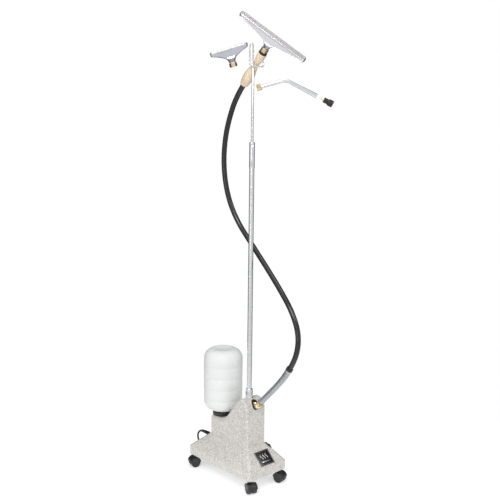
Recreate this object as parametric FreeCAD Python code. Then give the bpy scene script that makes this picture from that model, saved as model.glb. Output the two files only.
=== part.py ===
import FreeCAD, Part
import math
import os

# Garment steamer on casters. Origin: on the floor under the middle of the housing.
# +Z up, front (outlet and plate) towards -Y. All lengths in millimetres.

os.makedirs("parts", exist_ok=True)

V = FreeCAD.Vector

# ---- driving dimensions ------------------------------------------------------------------
HOUSING_LENGTH = 368.0
HOUSING_WIDTH = 202.0
SKIRT_BOTTOM = 54.0
SKIRT_TOP = 88.0
CORNER_RADIUS = 16.0
SKIRT_BROW = 7.0
SKIRT_LIP = 1.2
WALL = 3.0
TOWER_FRONT = -113.0
TOWER_REAR = 106.0
TOWER_HALF_WIDTH = 50.0
TOWER_FOOT = 154.0
FOOT_LEDGE = 1.0
SHOULDER_Z = 230.0
DOME_Z = 342.0
RAMP_FOOT_Y = 27.0
RAMP_ANGLE = 52.0
RAMP_HOLLOW = 80.0
DOME_RADIUS = 24.0
DOME_FRONT_RADIUS = 40.0

MAST_Y = -70.0
SOCKET_RADIUS = 15.0
SOCKET_TOP = 378.0
TUBE_RADIUS = 9.5
TUBE_TOP = 1336.0
FERRULE_BOTTOM = 1240.0
ROD_RADIUS = 4.75
ROD_BOTTOM = 1110.0
ROD_TOP = 1604.0
WIRE_RADIUS = 2.7

BOTTLE_Y = 85.0
BOTTLE_RADIUS = 78.0
BOTTLE_BOTTOM = 252.0
BOTTLE_TOP = 506.0
BOTTLE_SHOULDER = 38.0
BOTTLE_CROWN = 40.0
NECK_RADIUS = 19.0
NECK_BOTTOM = 239.0
CUP_RADIUS = 42.0
CUP_TOP = 247.0

OUTLET_Z = 320.0
OUTLET_HOLE_RADIUS = 18.5
ELBOW_RADIUS = 13.0
HOSE_RADIUS = 10.0
SPRING_RADIUS = 12.0

GRIP_X = 15.8
GRIP_Y = -67.4
GRIP_Z = 1618.0
GRIP_LEAN = 42.0
GRIP_BASE = -97.0
GRIP_TOP = 52.0
LONG_HEAD_TURN = 60.0
LONG_HEAD_LENGTH = 288.0
SHORT_HEAD_LENGTH = 142.0
HEAD_WIDTH = 32.0

CORD_RADIUS = 4.0
COIL_RADIUS = 44.0
COIL_X = 158.0
COIL_Y = 222.0
COIL_HALF_SECTION = 12.0

CASTER_X = 74.0
CASTER_Y = 158.0
CASTER_TRAIL = 14.0
WHEEL_RADIUS = 20.0
WHEEL_WIDTH = 15.0
WHEEL_GAP = 3.2
HOOD_RADIUS = 22.8
CASTER_HEADINGS = {1: -110.0, 2: -80.0, 3: 165.0, 4: 30.0}


# ---- helpers -----------------------------------------------------------------------------
def save(name, shape):
    shape.exportStep("parts/" + name + ".step")


def cylinder(radius, low, high, x=0.0, y=0.0):
    return Part.makeCylinder(radius, high - low, V(x, y, low))


def ring(outer, inner, low, high, x=0.0, y=0.0):
    return cylinder(outer, low, high, x, y).cut(cylinder(inner, low - 1, high + 1, x, y))


def box(x0, x1, y0, y1, z0, z1):
    return Part.makeBox(x1 - x0, y1 - y0, z1 - z0, V(x0, y0, z0))


def rod_between(start, end, radius):
    way = end.sub(start)
    return Part.makeCylinder(radius, way.Length, start, way)


def hexagon_prism(across_flats, low, high):
    corner = across_flats / math.sqrt(3.0)
    points = [V(corner * math.cos(math.radians(60 * k)), corner * math.sin(math.radians(60 * k)), low)
              for k in range(7)]
    return Part.Face(Part.makePolygon(points)).extrude(V(0, 0, high - low))


def revolved(profile):
    """Solid of revolution about Z from (radius, z) points, joined by straight lines."""
    points = [V(r, 0, z) for r, z in profile]
    points.append(points[0])
    return Part.Face(Part.makePolygon(points)).revolve(V(0, 0, 0), V(0, 0, 1), 360)


def rounded_rectangle(half_x, half_y, radius, z, centre_y=0.0):
    """Closed wire of four lines and four corner arcs."""
    edges = []
    corners = [(1, -1), (1, 1), (-1, 1), (-1, -1)]
    for k, (sx, sy) in enumerate(corners):
        cx = sx * (half_x - radius)
        cy = centre_y + sy * (half_y - radius)
        start = math.radians(-90 + 90 * k)
        at = [V(cx + radius * math.cos(start + math.radians(t)),
                cy + radius * math.sin(start + math.radians(t)), z) for t in (0, 45, 90)]
        edges.append(Part.Arc(at[0], at[1], at[2]).toShape())
    joined = []
    for k, arc in enumerate(edges):
        joined.append(arc)
        following = edges[(k + 1) % 4]
        joined.append(Part.LineSegment(arc.Vertexes[-1].Point, following.Vertexes[0].Point).toShape())
    return Part.Wire(joined)


def rounded_path(points, radius=None, report=None):
    """Straight runs joined by tangent arcs, each as large as its two runs allow."""
    edges = []
    radii = []
    here = points[0]
    for k in range(1, len(points) - 1):
        before = points[k].sub(points[k - 1])
        after = points[k + 1].sub(points[k])
        turn = before.getAngle(after)
        bend = 0.45 * min(before.Length, after.Length) / math.tan(turn / 2)
        if radius is not None:
            bend = min(bend, radius)
        radii.append(bend)
        reach = bend * math.tan(turn / 2)
        before.normalize()
        after.normalize()
        first = points[k].sub(before * reach)
        last = points[k].add(after * reach)
        inward = after.sub(before)
        inward.normalize()
        middle = points[k].add(inward * (bend / math.cos(turn / 2) - bend))
        edges.append(Part.LineSegment(here, first).toShape())
        edges.append(Part.Arc(first, middle, last).toShape())
        here = last
    edges.append(Part.LineSegment(here, points[-1]).toShape())
    if report:
        print(report, "radii", [round(r) for r in radii])
    return edges


def tube_along(edges, radius):
    wire = Part.Wire(edges)
    start = edges[0].Vertexes[0].Point
    way = edges[0].tangentAt(edges[0].FirstParameter)
    section = Part.Wire(Part.makeCircle(radius, start, way))
    return wire.makePipeShell([section], True, True)


def check_tube(name, edges, radius, shape):
    length = sum(edge.Length for edge in edges)
    expected = math.pi * radius * radius * length
    print(name, "length", round(length, 1), "volume ratio", round(shape.Volume / expected, 4))


def placed(shape, origin, x_way, z_way):
    """Moves a shape from its own frame to one with the given origin, X and Z directions."""
    z_axis = V(z_way)
    z_axis.normalize()
    y_axis = z_axis.cross(x_way)
    y_axis.normalize()
    x_axis = y_axis.cross(z_axis)
    matrix = FreeCAD.Matrix(
        x_axis.x, y_axis.x, z_axis.x, origin.x,
        x_axis.y, y_axis.y, z_axis.y, origin.y,
        x_axis.z, y_axis.z, z_axis.z, origin.z,
        0, 0, 0, 1)
    return shape.transformed(matrix, True)


# ---- cast housing ------------------------------------------------------------------------
def tower_profile(inset):
    """Side outline of the tower: flat rear shoulder, ramp, dome and rounded front."""
    rear = TOWER_REAR - inset
    front = TOWER_FRONT + inset
    shoulder = SHOULDER_Z - inset
    top = DOME_Z - inset
    foot = TOWER_FOOT - 20
    slope = math.radians(RAMP_ANGLE)
    rear_radius = 8.0
    hollow = RAMP_HOLLOW + inset
    dome = DOME_RADIUS - inset
    nose = DOME_FRONT_RADIUS - inset
    foot_y = RAMP_FOOT_Y - inset * math.tan(slope / 2)
    tangent = hollow * math.tan(slope / 2)
    low = V(0, foot_y + tangent, shoulder)
    centre = V(0, low.y, shoulder + hollow)
    low_mid = V(0, centre.y - hollow * math.sin(slope / 2), centre.z - hollow * math.cos(slope / 2))
    low_end = V(0, centre.y - hollow * math.sin(slope), centre.z - hollow * math.cos(slope))
    rise = top - dome * (1 - math.cos(slope))
    high_start = V(0, low_end.y - (rise - low_end.z) / math.tan(slope), rise)
    crown_y = high_start.y - dome * math.sin(slope)
    crown = V(0, crown_y, top)
    high_mid = V(0, crown_y + dome * math.sin(slope / 2), top - dome + dome * math.cos(slope / 2))
    nose_start = V(0, front + nose, top)
    nose_mid = V(0, front + nose - nose * math.sin(math.pi / 4), top - nose + nose * math.sin(math.pi / 4))
    nose_end = V(0, front, top - nose)
    rear_start = V(0, rear, shoulder - rear_radius)
    rear_mid = V(0, rear - rear_radius + rear_radius * math.cos(math.pi / 4),
                 shoulder - rear_radius + rear_radius * math.sin(math.pi / 4))
    rear_end = V(0, rear - rear_radius, shoulder)
    if crown_y - nose_start.y < 0.5:
        nose_start = V(0, crown_y - 0.6, top)
    edges = [
        Part.LineSegment(V(0, front, foot), V(0, rear, foot)),
        Part.LineSegment(V(0, rear, foot), rear_start),
        Part.Arc(rear_start, rear_mid, rear_end),
        Part.LineSegment(rear_end, low),
        Part.Arc(low, low_mid, low_end),
        Part.LineSegment(low_end, high_start),
        Part.Arc(high_start, high_mid, crown),
        Part.LineSegment(crown, nose_start),
        Part.Arc(nose_start, nose_mid, nose_end),
        Part.LineSegment(nose_end, V(0, front, foot)),
    ]
    return Part.Wire([edge.toShape() for edge in edges])


def tower_solid(inset, edge_radius):
    half = TOWER_HALF_WIDTH - inset
    body = Part.Face(tower_profile(inset)).extrude(V(2 * half, 0, 0))
    body.translate(V(-half, 0, 0))
    soft = []
    for edge in body.Edges:
        ends = edge.BoundBox
        on_side = abs(ends.XMax - ends.XMin) < 0.01 and abs(abs(ends.XMax) - half) < 0.01
        if on_side and ends.ZMax > TOWER_FOOT - 15:
            soft.append(edge)
    return body.makeFillet(edge_radius, soft)


def hip_solid(inset, low):
    """Sloping roof between the skirt's top and the tower's foot."""
    half_y = (TOWER_REAR - TOWER_FRONT) / 2
    centre = (TOWER_REAR + TOWER_FRONT) / 2
    bottom = rounded_rectangle(HOUSING_WIDTH / 2 - inset, HOUSING_LENGTH / 2 - inset,
                               CORNER_RADIUS - inset, low)
    top = rounded_rectangle(TOWER_HALF_WIDTH + FOOT_LEDGE - inset, half_y + FOOT_LEDGE - inset,
                            13.0 - inset, TOWER_FOOT - inset, centre)
    return Part.makeLoft([bottom, top], True, True)


def skirt_solid(inset, low, high):
    outline = rounded_rectangle(HOUSING_WIDTH / 2 - inset, HOUSING_LENGTH / 2 - inset,
                                CORNER_RADIUS - inset, low)
    return Part.Face(outline).extrude(V(0, 0, high - low))


def housing_shell():
    outer = skirt_solid(0, SKIRT_BOTTOM, SKIRT_TOP).fuse(hip_solid(0, SKIRT_TOP)).removeSplitter()
    brow = [edge for edge in outer.Edges if abs(edge.BoundBox.ZMin - SKIRT_TOP) < 0.01
            and abs(edge.BoundBox.ZMax - SKIRT_TOP) < 0.01]
    outer = outer.makeFillet(SKIRT_BROW, brow)
    lip = [edge for edge in outer.Edges if abs(edge.BoundBox.ZMax - SKIRT_BOTTOM) < 0.01]
    outer = outer.makeFillet(SKIRT_LIP, lip)
    outer = outer.fuse(tower_solid(0, 11.0))
    inner = skirt_solid(WALL, SKIRT_BOTTOM - 1, SKIRT_TOP - 1)
    inner = inner.fuse(hip_solid(WALL, SKIRT_TOP - 1))
    inner = inner.fuse(tower_solid(WALL, 8.5))
    shell = outer.removeSplitter().cut(inner)
    # boss under the dome that carries the foot of the mast
    shell = shell.fuse(cylinder(16, DOME_Z - 45, DOME_Z - 1, 0, MAST_Y).common(tower_solid(1, 8.5)))
    # seat for the bottle cup, outlet hole, mast hole, cord hole, switch hole, feed hole
    shell = shell.cut(cylinder(CUP_RADIUS + 0.5, SHOULDER_Z, SHOULDER_Z + 40, 0, BOTTLE_Y))
    shell = shell.cut(cylinder(7.5, SHOULDER_Z - 10, SHOULDER_Z + 5, 0, BOTTLE_Y))
    shell = shell.cut(Part.makeCylinder(OUTLET_HOLE_RADIUS, 36, V(0, TOWER_FRONT - 10, OUTLET_Z), V(0, 1, 0)))
    shell = shell.cut(cylinder(TUBE_RADIUS + 0.1, DOME_Z - 46, DOME_Z + 5, 0, MAST_Y))
    shell = shell.cut(Part.makeCylinder(5.2, 60, CORD_HOLE, V(0, 1, 0)))
    shell = shell.cut(placed(box(-13.5, 13.5, -8.5, 8.5, -12, 12), SWITCH_AT, V(0, 1, 0), SWITCH_WAY))
    # bosses for the base screws hang from the roof
    for x, y in BASE_SCREW_PLACES:
        boss = cylinder(5.0, SKIRT_BOTTOM + WALL, TOWER_FOOT, x, y)
        boss = boss.common(skirt_solid(1, SKIRT_BOTTOM, SKIRT_TOP).fuse(hip_solid(1, SKIRT_TOP)))
        shell = shell.fuse(boss.cut(cylinder(1.9, SKIRT_BOTTOM, SKIRT_TOP - 6, x, y)))
    return shell


BASE_SCREW_PLACES = [(x, y) for x in (-82, 82) for y in (-112, 0, 112)]
SIDE_SLOPE = math.atan2(TOWER_FOOT - SKIRT_TOP, HOUSING_WIDTH / 2 - TOWER_HALF_WIDTH - FOOT_LEDGE)
FRONT_SLOPE = math.atan2(TOWER_FOOT - SKIRT_TOP, HOUSING_LENGTH / 2 + TOWER_FRONT - FOOT_LEDGE)
SWITCH_WAY = V(math.sin(SIDE_SLOPE), 0, math.cos(SIDE_SLOPE))
SWITCH_AT = V(63.0, -112, 0)
SWITCH_AT.z = SKIRT_TOP + (HOUSING_WIDTH / 2 - SWITCH_AT.x) * math.tan(SIDE_SLOPE)
CORD_X = -15.0
CORD_Z = 124.0
CORD_HOLE = V(CORD_X, 110, CORD_Z)


def base_plate():
    plate = skirt_solid(WALL + 0.3, SKIRT_BOTTOM, SKIRT_BOTTOM + WALL)
    for x, y in BASE_SCREW_PLACES:
        plate = plate.cut(cylinder(2.2, SKIRT_BOTTOM - 1, SKIRT_BOTTOM + 5, x, y))
    for x, y in caster_places():
        plate = plate.cut(cylinder(8.2, SKIRT_BOTTOM - 1, SKIRT_BOTTOM + 5, x, y))
    return plate


def base_screws():
    screws = []
    for x, y in BASE_SCREW_PLACES:
        head = cylinder(3.6, SKIRT_BOTTOM - 2.2, SKIRT_BOTTOM, x, y)
        screws.append(head.fuse(cylinder(1.8, SKIRT_BOTTOM, SKIRT_BOTTOM + 20, x, y)))
    return Part.makeCompound(screws)


def name_plate():
    """Thin plate on the front slope with a raised border."""
    width = 74.0
    height = 62.0
    plate = box(-width / 2, width / 2, -height / 2, height / 2, 0.05, 1.6)
    plate = plate.cut(box(-width / 2 + 2, width / 2 - 2, -height / 2 + 2, height / 2 - 2, 1.1, 3))
    along = 40.0
    way = V(0, -math.sin(FRONT_SLOPE), math.cos(FRONT_SLOPE))
    at = V(6, -HOUSING_LENGTH / 2 + along * math.cos(FRONT_SLOPE),
           SKIRT_TOP + along * math.sin(FRONT_SLOPE))
    return placed(plate, at, V(1, 0, 0), way)


def switch_bezel():
    frame = box(-17, 17, -12, 12, 0.05, 3).fuse(box(-13, 13, -8, 8, -10, 0.05))
    frame = frame.cut(box(-11.5, 11.5, -6.5, 6.5, -8, 5))
    return placed(frame, SWITCH_AT, V(0, 1, 0), SWITCH_WAY)


def switch_rocker():
    profile = [V(-10.5, -5.6, -2), V(10.5, -5.6, -2), V(11, -5.6, 8), V(0, -5.6, 5.6), V(-11, -5.6, 6.2),
               V(-10.5, -5.6, -2)]
    key = Part.Face(Part.makePolygon(profile)).extrude(V(0, 11.2, 0))
    return placed(key, SWITCH_AT, V(0, 1, 0), SWITCH_WAY)


# ---- boiler and water path ----------------------------------------------------------------
TANK_FRONT = -105.0
TANK_REAR = 58.0
TANK_TOP = 178.0
RISER_Y = -95.0
FEED_X = 20.0
FEED_Z = 104.0
HEATER_Z = 96.0


def boiler_tank():
    tank = box(-33, 33, TANK_FRONT, TANK_REAR, 74, TANK_TOP)
    tank = tank.cut(box(-29, 29, TANK_FRONT + 4, TANK_REAR - 4, 78, TANK_TOP + 1))
    tank = tank.cut(Part.makeCylinder(10, 10, V(0, TANK_REAR - 5, HEATER_Z), V(0, 1, 0)))
    tank = tank.cut(Part.makeCylinder(3.5, 10, V(FEED_X, TANK_REAR - 5, FEED_Z), V(0, 1, 0)))
    for x in (-22, 22):
        for y in (-88, 44):
            tank = tank.fuse(box(x - 8, x + 8, y - 8, y + 8, SKIRT_BOTTOM + WALL, 74))
    return tank


def boiler_lid():
    lid = box(-33, 33, TANK_FRONT, TANK_REAR, TANK_TOP, TANK_TOP + 5)
    return lid.cut(cylinder(5, TANK_TOP - 1, TANK_TOP + 6, 0, RISER_Y))


def heating_element():
    """Hairpin heater with its flange on the tank's rear wall."""
    flange = Part.makeCylinder(14, 4, V(0, TANK_REAR, HEATER_Z), V(0, 1, 0))
    plug = Part.makeCylinder(9.9, 4, V(0, TANK_REAR - 4, HEATER_Z), V(0, 1, 0))
    legs = [V(-6, TANK_REAR, HEATER_Z), V(-6, -80, HEATER_Z), V(6, -80, HEATER_Z), V(6, TANK_REAR, HEATER_Z)]
    return flange.fuse(plug).fuse(tube_along(rounded_path(legs, 5), 3.0))


def thermostat():
    body = box(33, 39, -40, -12, 110, 130)
    return body.fuse(Part.makeCylinder(4, 1.5, V(39, -26, 120), V(1, 0, 0)))


def thermal_cutout():
    body = box(33, 38, 6, 24, 112, 128)
    return body.fuse(Part.makeCylinder(5, 1.5, V(38, 15, 120), V(1, 0, 0)))


def bottle_cup():
    """Round tray with a spout into the housing, and a pin in the middle that opens the bottle's valve."""
    cup = revolved([(3.5, SHOULDER_Z - 25), (6.8, SHOULDER_Z - 25), (6.8, SHOULDER_Z), (CUP_RADIUS, SHOULDER_Z),
                    (CUP_RADIUS, CUP_TOP - 3), (CUP_RADIUS - 2, CUP_TOP), (CUP_RADIUS - 4, CUP_TOP),
                    (CUP_RADIUS - 6, SHOULDER_Z + 4), (3.5, SHOULDER_Z + 4)])
    cup = cup.fuse(cylinder(1.6, SHOULDER_Z - 6, POST_TOP))
    cup = cup.fuse(box(-4, 4, -0.8, 0.8, SHOULDER_Z - 6, SHOULDER_Z - 4))
    cup.translate(V(0, BOTTLE_Y, 0))
    return cup


def feed_tube():
    """From the cup's spout down to the tank's rear wall."""
    points = [V(0, BOTTLE_Y, SHOULDER_Z - 25.1), V(0, BOTTLE_Y, 150), V(FEED_X, BOTTLE_Y, FEED_Z),
              V(FEED_X, TANK_REAR + 0.1, FEED_Z)]
    edges = rounded_path(points, 14)
    return tube_along(edges, 5.0).cut(tube_along(edges, 3.5))


def steam_riser():
    low = V(0, RISER_Y, TANK_TOP + 5.1)
    corner = V(0, RISER_Y, OUTLET_Z)
    end = V(0, ELBOW_REAR + 0.1, OUTLET_Z)
    solid = rod_between(low, corner, 7.0).fuse(Part.makeSphere(7.0, corner)).fuse(rod_between(corner, end, 7.0))
    passage = rod_between(low, corner, 5.0).fuse(Part.makeSphere(5.0, corner))
    return solid.cut(passage.fuse(rod_between(corner, end, 5.0)))


# ---- outlet and hose -----------------------------------------------------------------------
ELBOW_REAR = -105.0
ELBOW_TURN = V(0, -117, OUTLET_Z)
OUTLET_WAY = V(0, -math.sin(math.radians(45)), math.cos(math.radians(45)))
HOSE_START = ELBOW_TURN.add(OUTLET_WAY * 26)


def outlet_elbow():
    rear = V(0, ELBOW_REAR, OUTLET_Z)
    mouth = ELBOW_TURN.add(OUTLET_WAY * 25.9)
    elbow = rod_between(rear, ELBOW_TURN, ELBOW_RADIUS).fuse(Part.makeSphere(ELBOW_RADIUS, ELBOW_TURN))
    elbow = elbow.fuse(rod_between(ELBOW_TURN, mouth, 9.5))
    elbow = elbow.fuse(rod_between(ELBOW_TURN.add(OUTLET_WAY * 13), ELBOW_TURN.add(OUTLET_WAY * 22), 12.0))
    elbow = elbow.cut(rod_between(rear, ELBOW_TURN, 5.0).fuse(Part.makeSphere(5.0, ELBOW_TURN)))
    return elbow.cut(rod_between(ELBOW_TURN, ELBOW_TURN.add(OUTLET_WAY * 40), 5.0))


def outlet_bush():
    """Dark bush that lines the round hole behind the elbow and ends flush with the casting."""
    bush = Part.makeCylinder(OUTLET_HOLE_RADIUS - 0.2, 24, V(0, -112, OUTLET_Z), V(0, 1, 0))
    bush = bush.cut(Part.makeCylinder(ELBOW_RADIUS + 0.3, 40, V(0, -120, OUTLET_Z), V(0, 1, 0)))
    bush = bush.cut(box(-8, 8, -106, -80, OUTLET_Z - 30, OUTLET_Z))
    return bush.common(tower_solid(1, 10.0))


# Hose route, from the elbow's mouth, round the low bulge, past the mast and up to the handle.
HOSE_LOWER_ROUTE = [
    HOSE_START,
    V(0, -203, 406),
    V(0, -269, 480),
    V(1, -321, 566),
    V(4, -328, 650),
    V(9, -286, 728),
    V(20, -205, 802),
    V(33, -120, 868),
    V(41.5, -66, 908),
]
HOSE_UPPER_ROUTE = [
    V(41.5, -66, 908),
    V(50, -12, 948),
    V(48, 54, 1012),
    V(41, 98, 1088),
    V(34, 119, 1170),
    V(27, 121, 1254),
    V(21, 107, 1338),
    V(17, 80, 1416),
]


def spring_edges():
    """The first runs of the hose, up to half-way along its third run."""
    edges = rounded_path(HOSE_LOWER_ROUTE)[:4]
    start = edges[3].Vertexes[-1].Point
    third = rounded_path(HOSE_LOWER_ROUTE)[4]
    end = third.valueAt((third.FirstParameter + third.LastParameter) / 2)
    edges.append(Part.LineSegment(start, end).toShape())
    return edges


def hose_spring():
    edges = spring_edges()
    return tube_along(edges, SPRING_RADIUS).cut(tube_along(edges, HOSE_RADIUS + 0.3))


def hose_collar():
    edges = spring_edges()
    last = edges[-1]
    way = last.tangentAt(last.LastParameter)
    start = last.Vertexes[-1].Point
    outer = Part.makeCylinder(SPRING_RADIUS + 1.2, 11, start.add(way * 0.2), way)
    return outer.cut(Part.makeCylinder(HOSE_RADIUS + 0.3, 14, start.sub(way), way))


def hose_parts():
    lower_edges = rounded_path(HOSE_LOWER_ROUTE, None, "hose_lower")
    upper_route = HOSE_UPPER_ROUTE + [handle_point(GRIP_BASE - 62), handle_point(GRIP_BASE)]
    upper_edges = rounded_path(upper_route, None, "hose_upper")
    lower = tube_along(lower_edges, HOSE_RADIUS)
    upper = tube_along(upper_edges, HOSE_RADIUS)
    check_tube("hose_lower", lower_edges, HOSE_RADIUS, lower)
    check_tube("hose_upper", upper_edges, HOSE_RADIUS, upper)
    return lower, upper


# ---- mast ------------------------------------------------------------------------------------
def mast_socket():
    foot = DOME_Z - 8
    body = hexagon_prism(2 * SOCKET_RADIUS - 2, foot, SOCKET_TOP - 4)
    body = body.common(cylinder(SOCKET_RADIUS, foot - 1, SOCKET_TOP))
    rim = revolved([(0, SOCKET_TOP - 5), (SOCKET_RADIUS - 0.6, SOCKET_TOP - 5),
                    (SOCKET_RADIUS - 0.6, SOCKET_TOP - 1.5), (SOCKET_RADIUS - 2, SOCKET_TOP), (0, SOCKET_TOP)])
    body = body.fuse(rim)
    body = body.cut(cylinder(TUBE_RADIUS + 0.1, foot - 2, SOCKET_TOP + 5))
    body = body.cut(Part.makeCylinder(2.5, 20, V(TUBE_RADIUS - 1, 0, SOCKET_TOP - 9), V(1, 0, 0)))
    body.translate(V(0, MAST_Y, 0))
    body = body.cut(tower_solid(0, 11.0))
    return body


def socket_screw():
    screw = Part.makeCylinder(2.4, 8, V(TUBE_RADIUS + 0.1, 0, SOCKET_TOP - 9), V(1, 0, 0))
    screw.translate(V(0, MAST_Y, 0))
    return screw


def lower_tube():
    return ring(TUBE_RADIUS, TUBE_RADIUS - 1.5, DOME_Z - 45, TUBE_TOP - 6, 0, MAST_Y)


def tube_ferrule():
    sleeve = ring(TUBE_RADIUS + 0.9, TUBE_RADIUS + 0.05, FERRULE_BOTTOM, TUBE_TOP - 6, 0, MAST_Y)
    cap = revolved([(ROD_RADIUS + 0.05, TUBE_TOP - 6), (TUBE_RADIUS + 0.9, TUBE_TOP - 6),
                    (TUBE_RADIUS + 0.9, TUBE_TOP - 1.5), (TUBE_RADIUS - 1, TUBE_TOP),
                    (ROD_RADIUS + 0.05, TUBE_TOP)])
    cap.translate(V(0, MAST_Y, 0))
    return sleeve.fuse(cap)


def upper_rod():
    rod = cylinder(ROD_RADIUS, ROD_BOTTOM, ROD_TOP - 1.5, 0, MAST_Y)
    tip = Part.makeCone(ROD_RADIUS, ROD_RADIUS - 1.2, 1.5, V(0, MAST_Y, ROD_TOP - 1.5))
    rod = rod.fuse(tip)
    return rod.cut(cylinder(WIRE_RADIUS + 0.05, ROD_TOP - 26, ROD_TOP + 2, 0, MAST_Y))


def rod_guide():
    """Friction bush on the foot of the sliding rod."""
    return ring(TUBE_RADIUS - 1.55, ROD_RADIUS + 0.05, ROD_BOTTOM + 2, ROD_BOTTOM + 24, 0, MAST_Y)


CROOK_TOP = 1693.0
CRADLE = [
    V(-9.3, -61.6, 1625),
    V(-12.6, -67.0, 1617),
    V(-6.5, -76.6, 1615),
    V(9.0, -81.4, 1612),
    V(24.5, -88.0, 1609.5),
    V(33.0, -91.5, 1615),
    V(34.5, -89.5, 1625),
    V(31.5, -86.0, 1632),
]


def hook_wire():
    """One wire: up out of the rod, over a narrow crook, down, and round under the handle's waist."""
    crook = [V(0, MAST_Y, ROD_TOP - 25), V(0, MAST_Y, CROOK_TOP), V(-9.3, -61.6, CROOK_TOP)]
    edges = rounded_path(crook + CRADLE, 6.1)
    return tube_along(edges, WIRE_RADIUS)


# ---- bottle ------------------------------------------------------------------------------------
def bottle_outline(inset):
    """Half outline of the inverted bottle, as (radius, z) edges from the neck's mouth to the top."""
    radius = BOTTLE_RADIUS - inset
    low = BOTTLE_BOTTOM + inset
    top = BOTTLE_TOP - inset
    neck = NECK_RADIUS - inset
    shoulder = BOTTLE_SHOULDER - inset
    crown = BOTTLE_CROWN - inset
    points = [V(0, 0, NECK_BOTTOM - (5 if inset else 0)), V(neck, 0, NECK_BOTTOM - (5 if inset else 0)),
              V(neck, 0, low)]
    inner_corner = V(radius - shoulder, 0, low)
    half = math.sin(math.pi / 4)
    edges = [Part.LineSegment(points[0], points[1]), Part.LineSegment(points[1], points[2]),
             Part.LineSegment(points[2], inner_corner),
             Part.Arc(inner_corner, V(radius - shoulder + shoulder * half, 0, low + shoulder - shoulder * half),
                      V(radius, 0, low + shoulder)),
             Part.LineSegment(V(radius, 0, low + shoulder), V(radius, 0, top - crown)),
             Part.Arc(V(radius, 0, top - crown),
                      V(radius - crown + crown * half, 0, top - crown + crown * half),
                      V(radius - crown, 0, top)),
             Part.LineSegment(V(radius - crown, 0, top), V(0, 0, top)),
             Part.LineSegment(V(0, 0, top), points[0])]
    return Part.Wire([edge.toShape() for edge in edges])


def bottle():
    outer = Part.Face(bottle_outline(0)).revolve(V(0, 0, 0), V(0, 0, 1), 360)
    inner = Part.Face(bottle_outline(1.8)).revolve(V(0, 0, 0), V(0, 0, 1), 360)
    body = outer.cut(inner)
    body.translate(V(0, BOTTLE_Y, 0))
    return body


CAP_RADIUS = 24.0
CAP_BOTTOM = SHOULDER_Z + 4.3
CAP_FLOOR = CAP_BOTTOM + 2.4
POST_TOP = CAP_FLOOR + 1.5
VALVE_OPEN = 3.5


def bottle_cap():
    """Screw cap with a valve hole and a small cage that holds the valve and its spring."""
    floor = ring(CAP_RADIUS, 4.5, CAP_BOTTOM, CAP_FLOOR)
    wall = ring(CAP_RADIUS, NECK_RADIUS + 0.2, CAP_FLOOR, CAP_FLOOR + 12)
    cap = floor.fuse(wall)
    for side in (-1, 1):
        leg = box(9.2, 11.2, -2, 2, CAP_FLOOR, CAP_FLOOR + 20)
        leg = leg if side > 0 else leg.mirror(V(0, 0, 0), V(1, 0, 0))
        cap = cap.fuse(leg)
    bridge = box(-11.2, 11.2, -2, 2, CAP_FLOOR + 18, CAP_FLOOR + 20).cut(cylinder(1.9, 200, 300))
    cap = cap.fuse(bridge)
    cap.translate(V(0, BOTTLE_Y, 0))
    return cap


def cap_gasket():
    return ring(NECK_RADIUS, 12.5, CAP_FLOOR, NECK_BOTTOM, 0, BOTTLE_Y)


def valve_plunger():
    """Disc and stem, held off the cap's floor by the post in the cup."""
    seat = CAP_FLOOR + VALVE_OPEN
    disc = cylinder(7.5, seat, seat + 2).fuse(cylinder(1.6, POST_TOP + 0.1, seat))
    disc = disc.fuse(cylinder(1.6, seat + 2, CAP_FLOOR + 24))
    disc.translate(V(0, BOTTLE_Y, 0))
    return disc


def valve_spring():
    return ring(5.2, 4.0, CAP_FLOOR + VALVE_OPEN + 2.1, CAP_FLOOR + 17.9, 0, BOTTLE_Y)


# ---- steam handle and heads --------------------------------------------------------------------
LEAN = math.radians(GRIP_LEAN)
GRIP_WAY = V(0, -math.sin(LEAN), math.cos(LEAN))
GRIP_WAIST = V(GRIP_X, GRIP_Y, GRIP_Z)


def handle_point(along):
    return GRIP_WAIST.add(GRIP_WAY * along)


def on_handle(shape):
    return placed(shape, GRIP_WAIST, V(1, 0, 0), GRIP_WAY)


def handle_grip():
    """Turned wooden handle: full barrel below, waist, and a flare under the collar."""
    profile = [(14.0, GRIP_BASE), (17.0, -86), (19.6, -68), (19.9, -52), (17.9, -34), (13.6, -16), (10.4, -3),
               (10.5, 4), (13.0, 17), (15.8, 31), (17.2, 44), (17.0, GRIP_TOP)]
    curve = Part.BSplineCurve()
    curve.interpolate([V(r, 0, along) for r, along in profile])
    base = V(0, 0, GRIP_BASE)
    top = V(0, 0, GRIP_TOP)
    outline = Part.Wire([Part.LineSegment(base, V(profile[0][0], 0, GRIP_BASE)).toShape(), curve.toShape(),
                         Part.LineSegment(V(profile[-1][0], 0, GRIP_TOP), top).toShape(),
                         Part.LineSegment(top, base).toShape()])
    grip = Part.Face(outline).revolve(V(0, 0, 0), V(0, 0, 1), 360)
    grip = grip.cut(cylinder(6.0, GRIP_BASE - 1, GRIP_TOP + 1))
    grip = grip.cut(cylinder(NIPPLE_RADIUS + 0.05, 30, GRIP_TOP + 1))
    return on_handle(grip)


NIPPLE_RADIUS = 9.5
COLLAR_TOP = GRIP_TOP + 9.0
NIPPLE_TOP = COLLAR_TOP + 10.5
NUT_START = COLLAR_TOP + 0.3
FLANGE_START = NIPPLE_TOP + 0.4
FLANGE_RADIUS = 9.6
NECK_PIPE_RADIUS = 8.5
LONG_NECK = 60.5
SHORT_NECK = 56.5
THREAD_LENGTH = 10.0
NUT_LENGTH = 18.0


def handle_collar():
    return on_handle(ring(15.4, NIPPLE_RADIUS + 0.05, GRIP_TOP, COLLAR_TOP))


def handle_nipple():
    return on_handle(ring(NIPPLE_RADIUS, 6.0, 30, NIPPLE_TOP))


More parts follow.
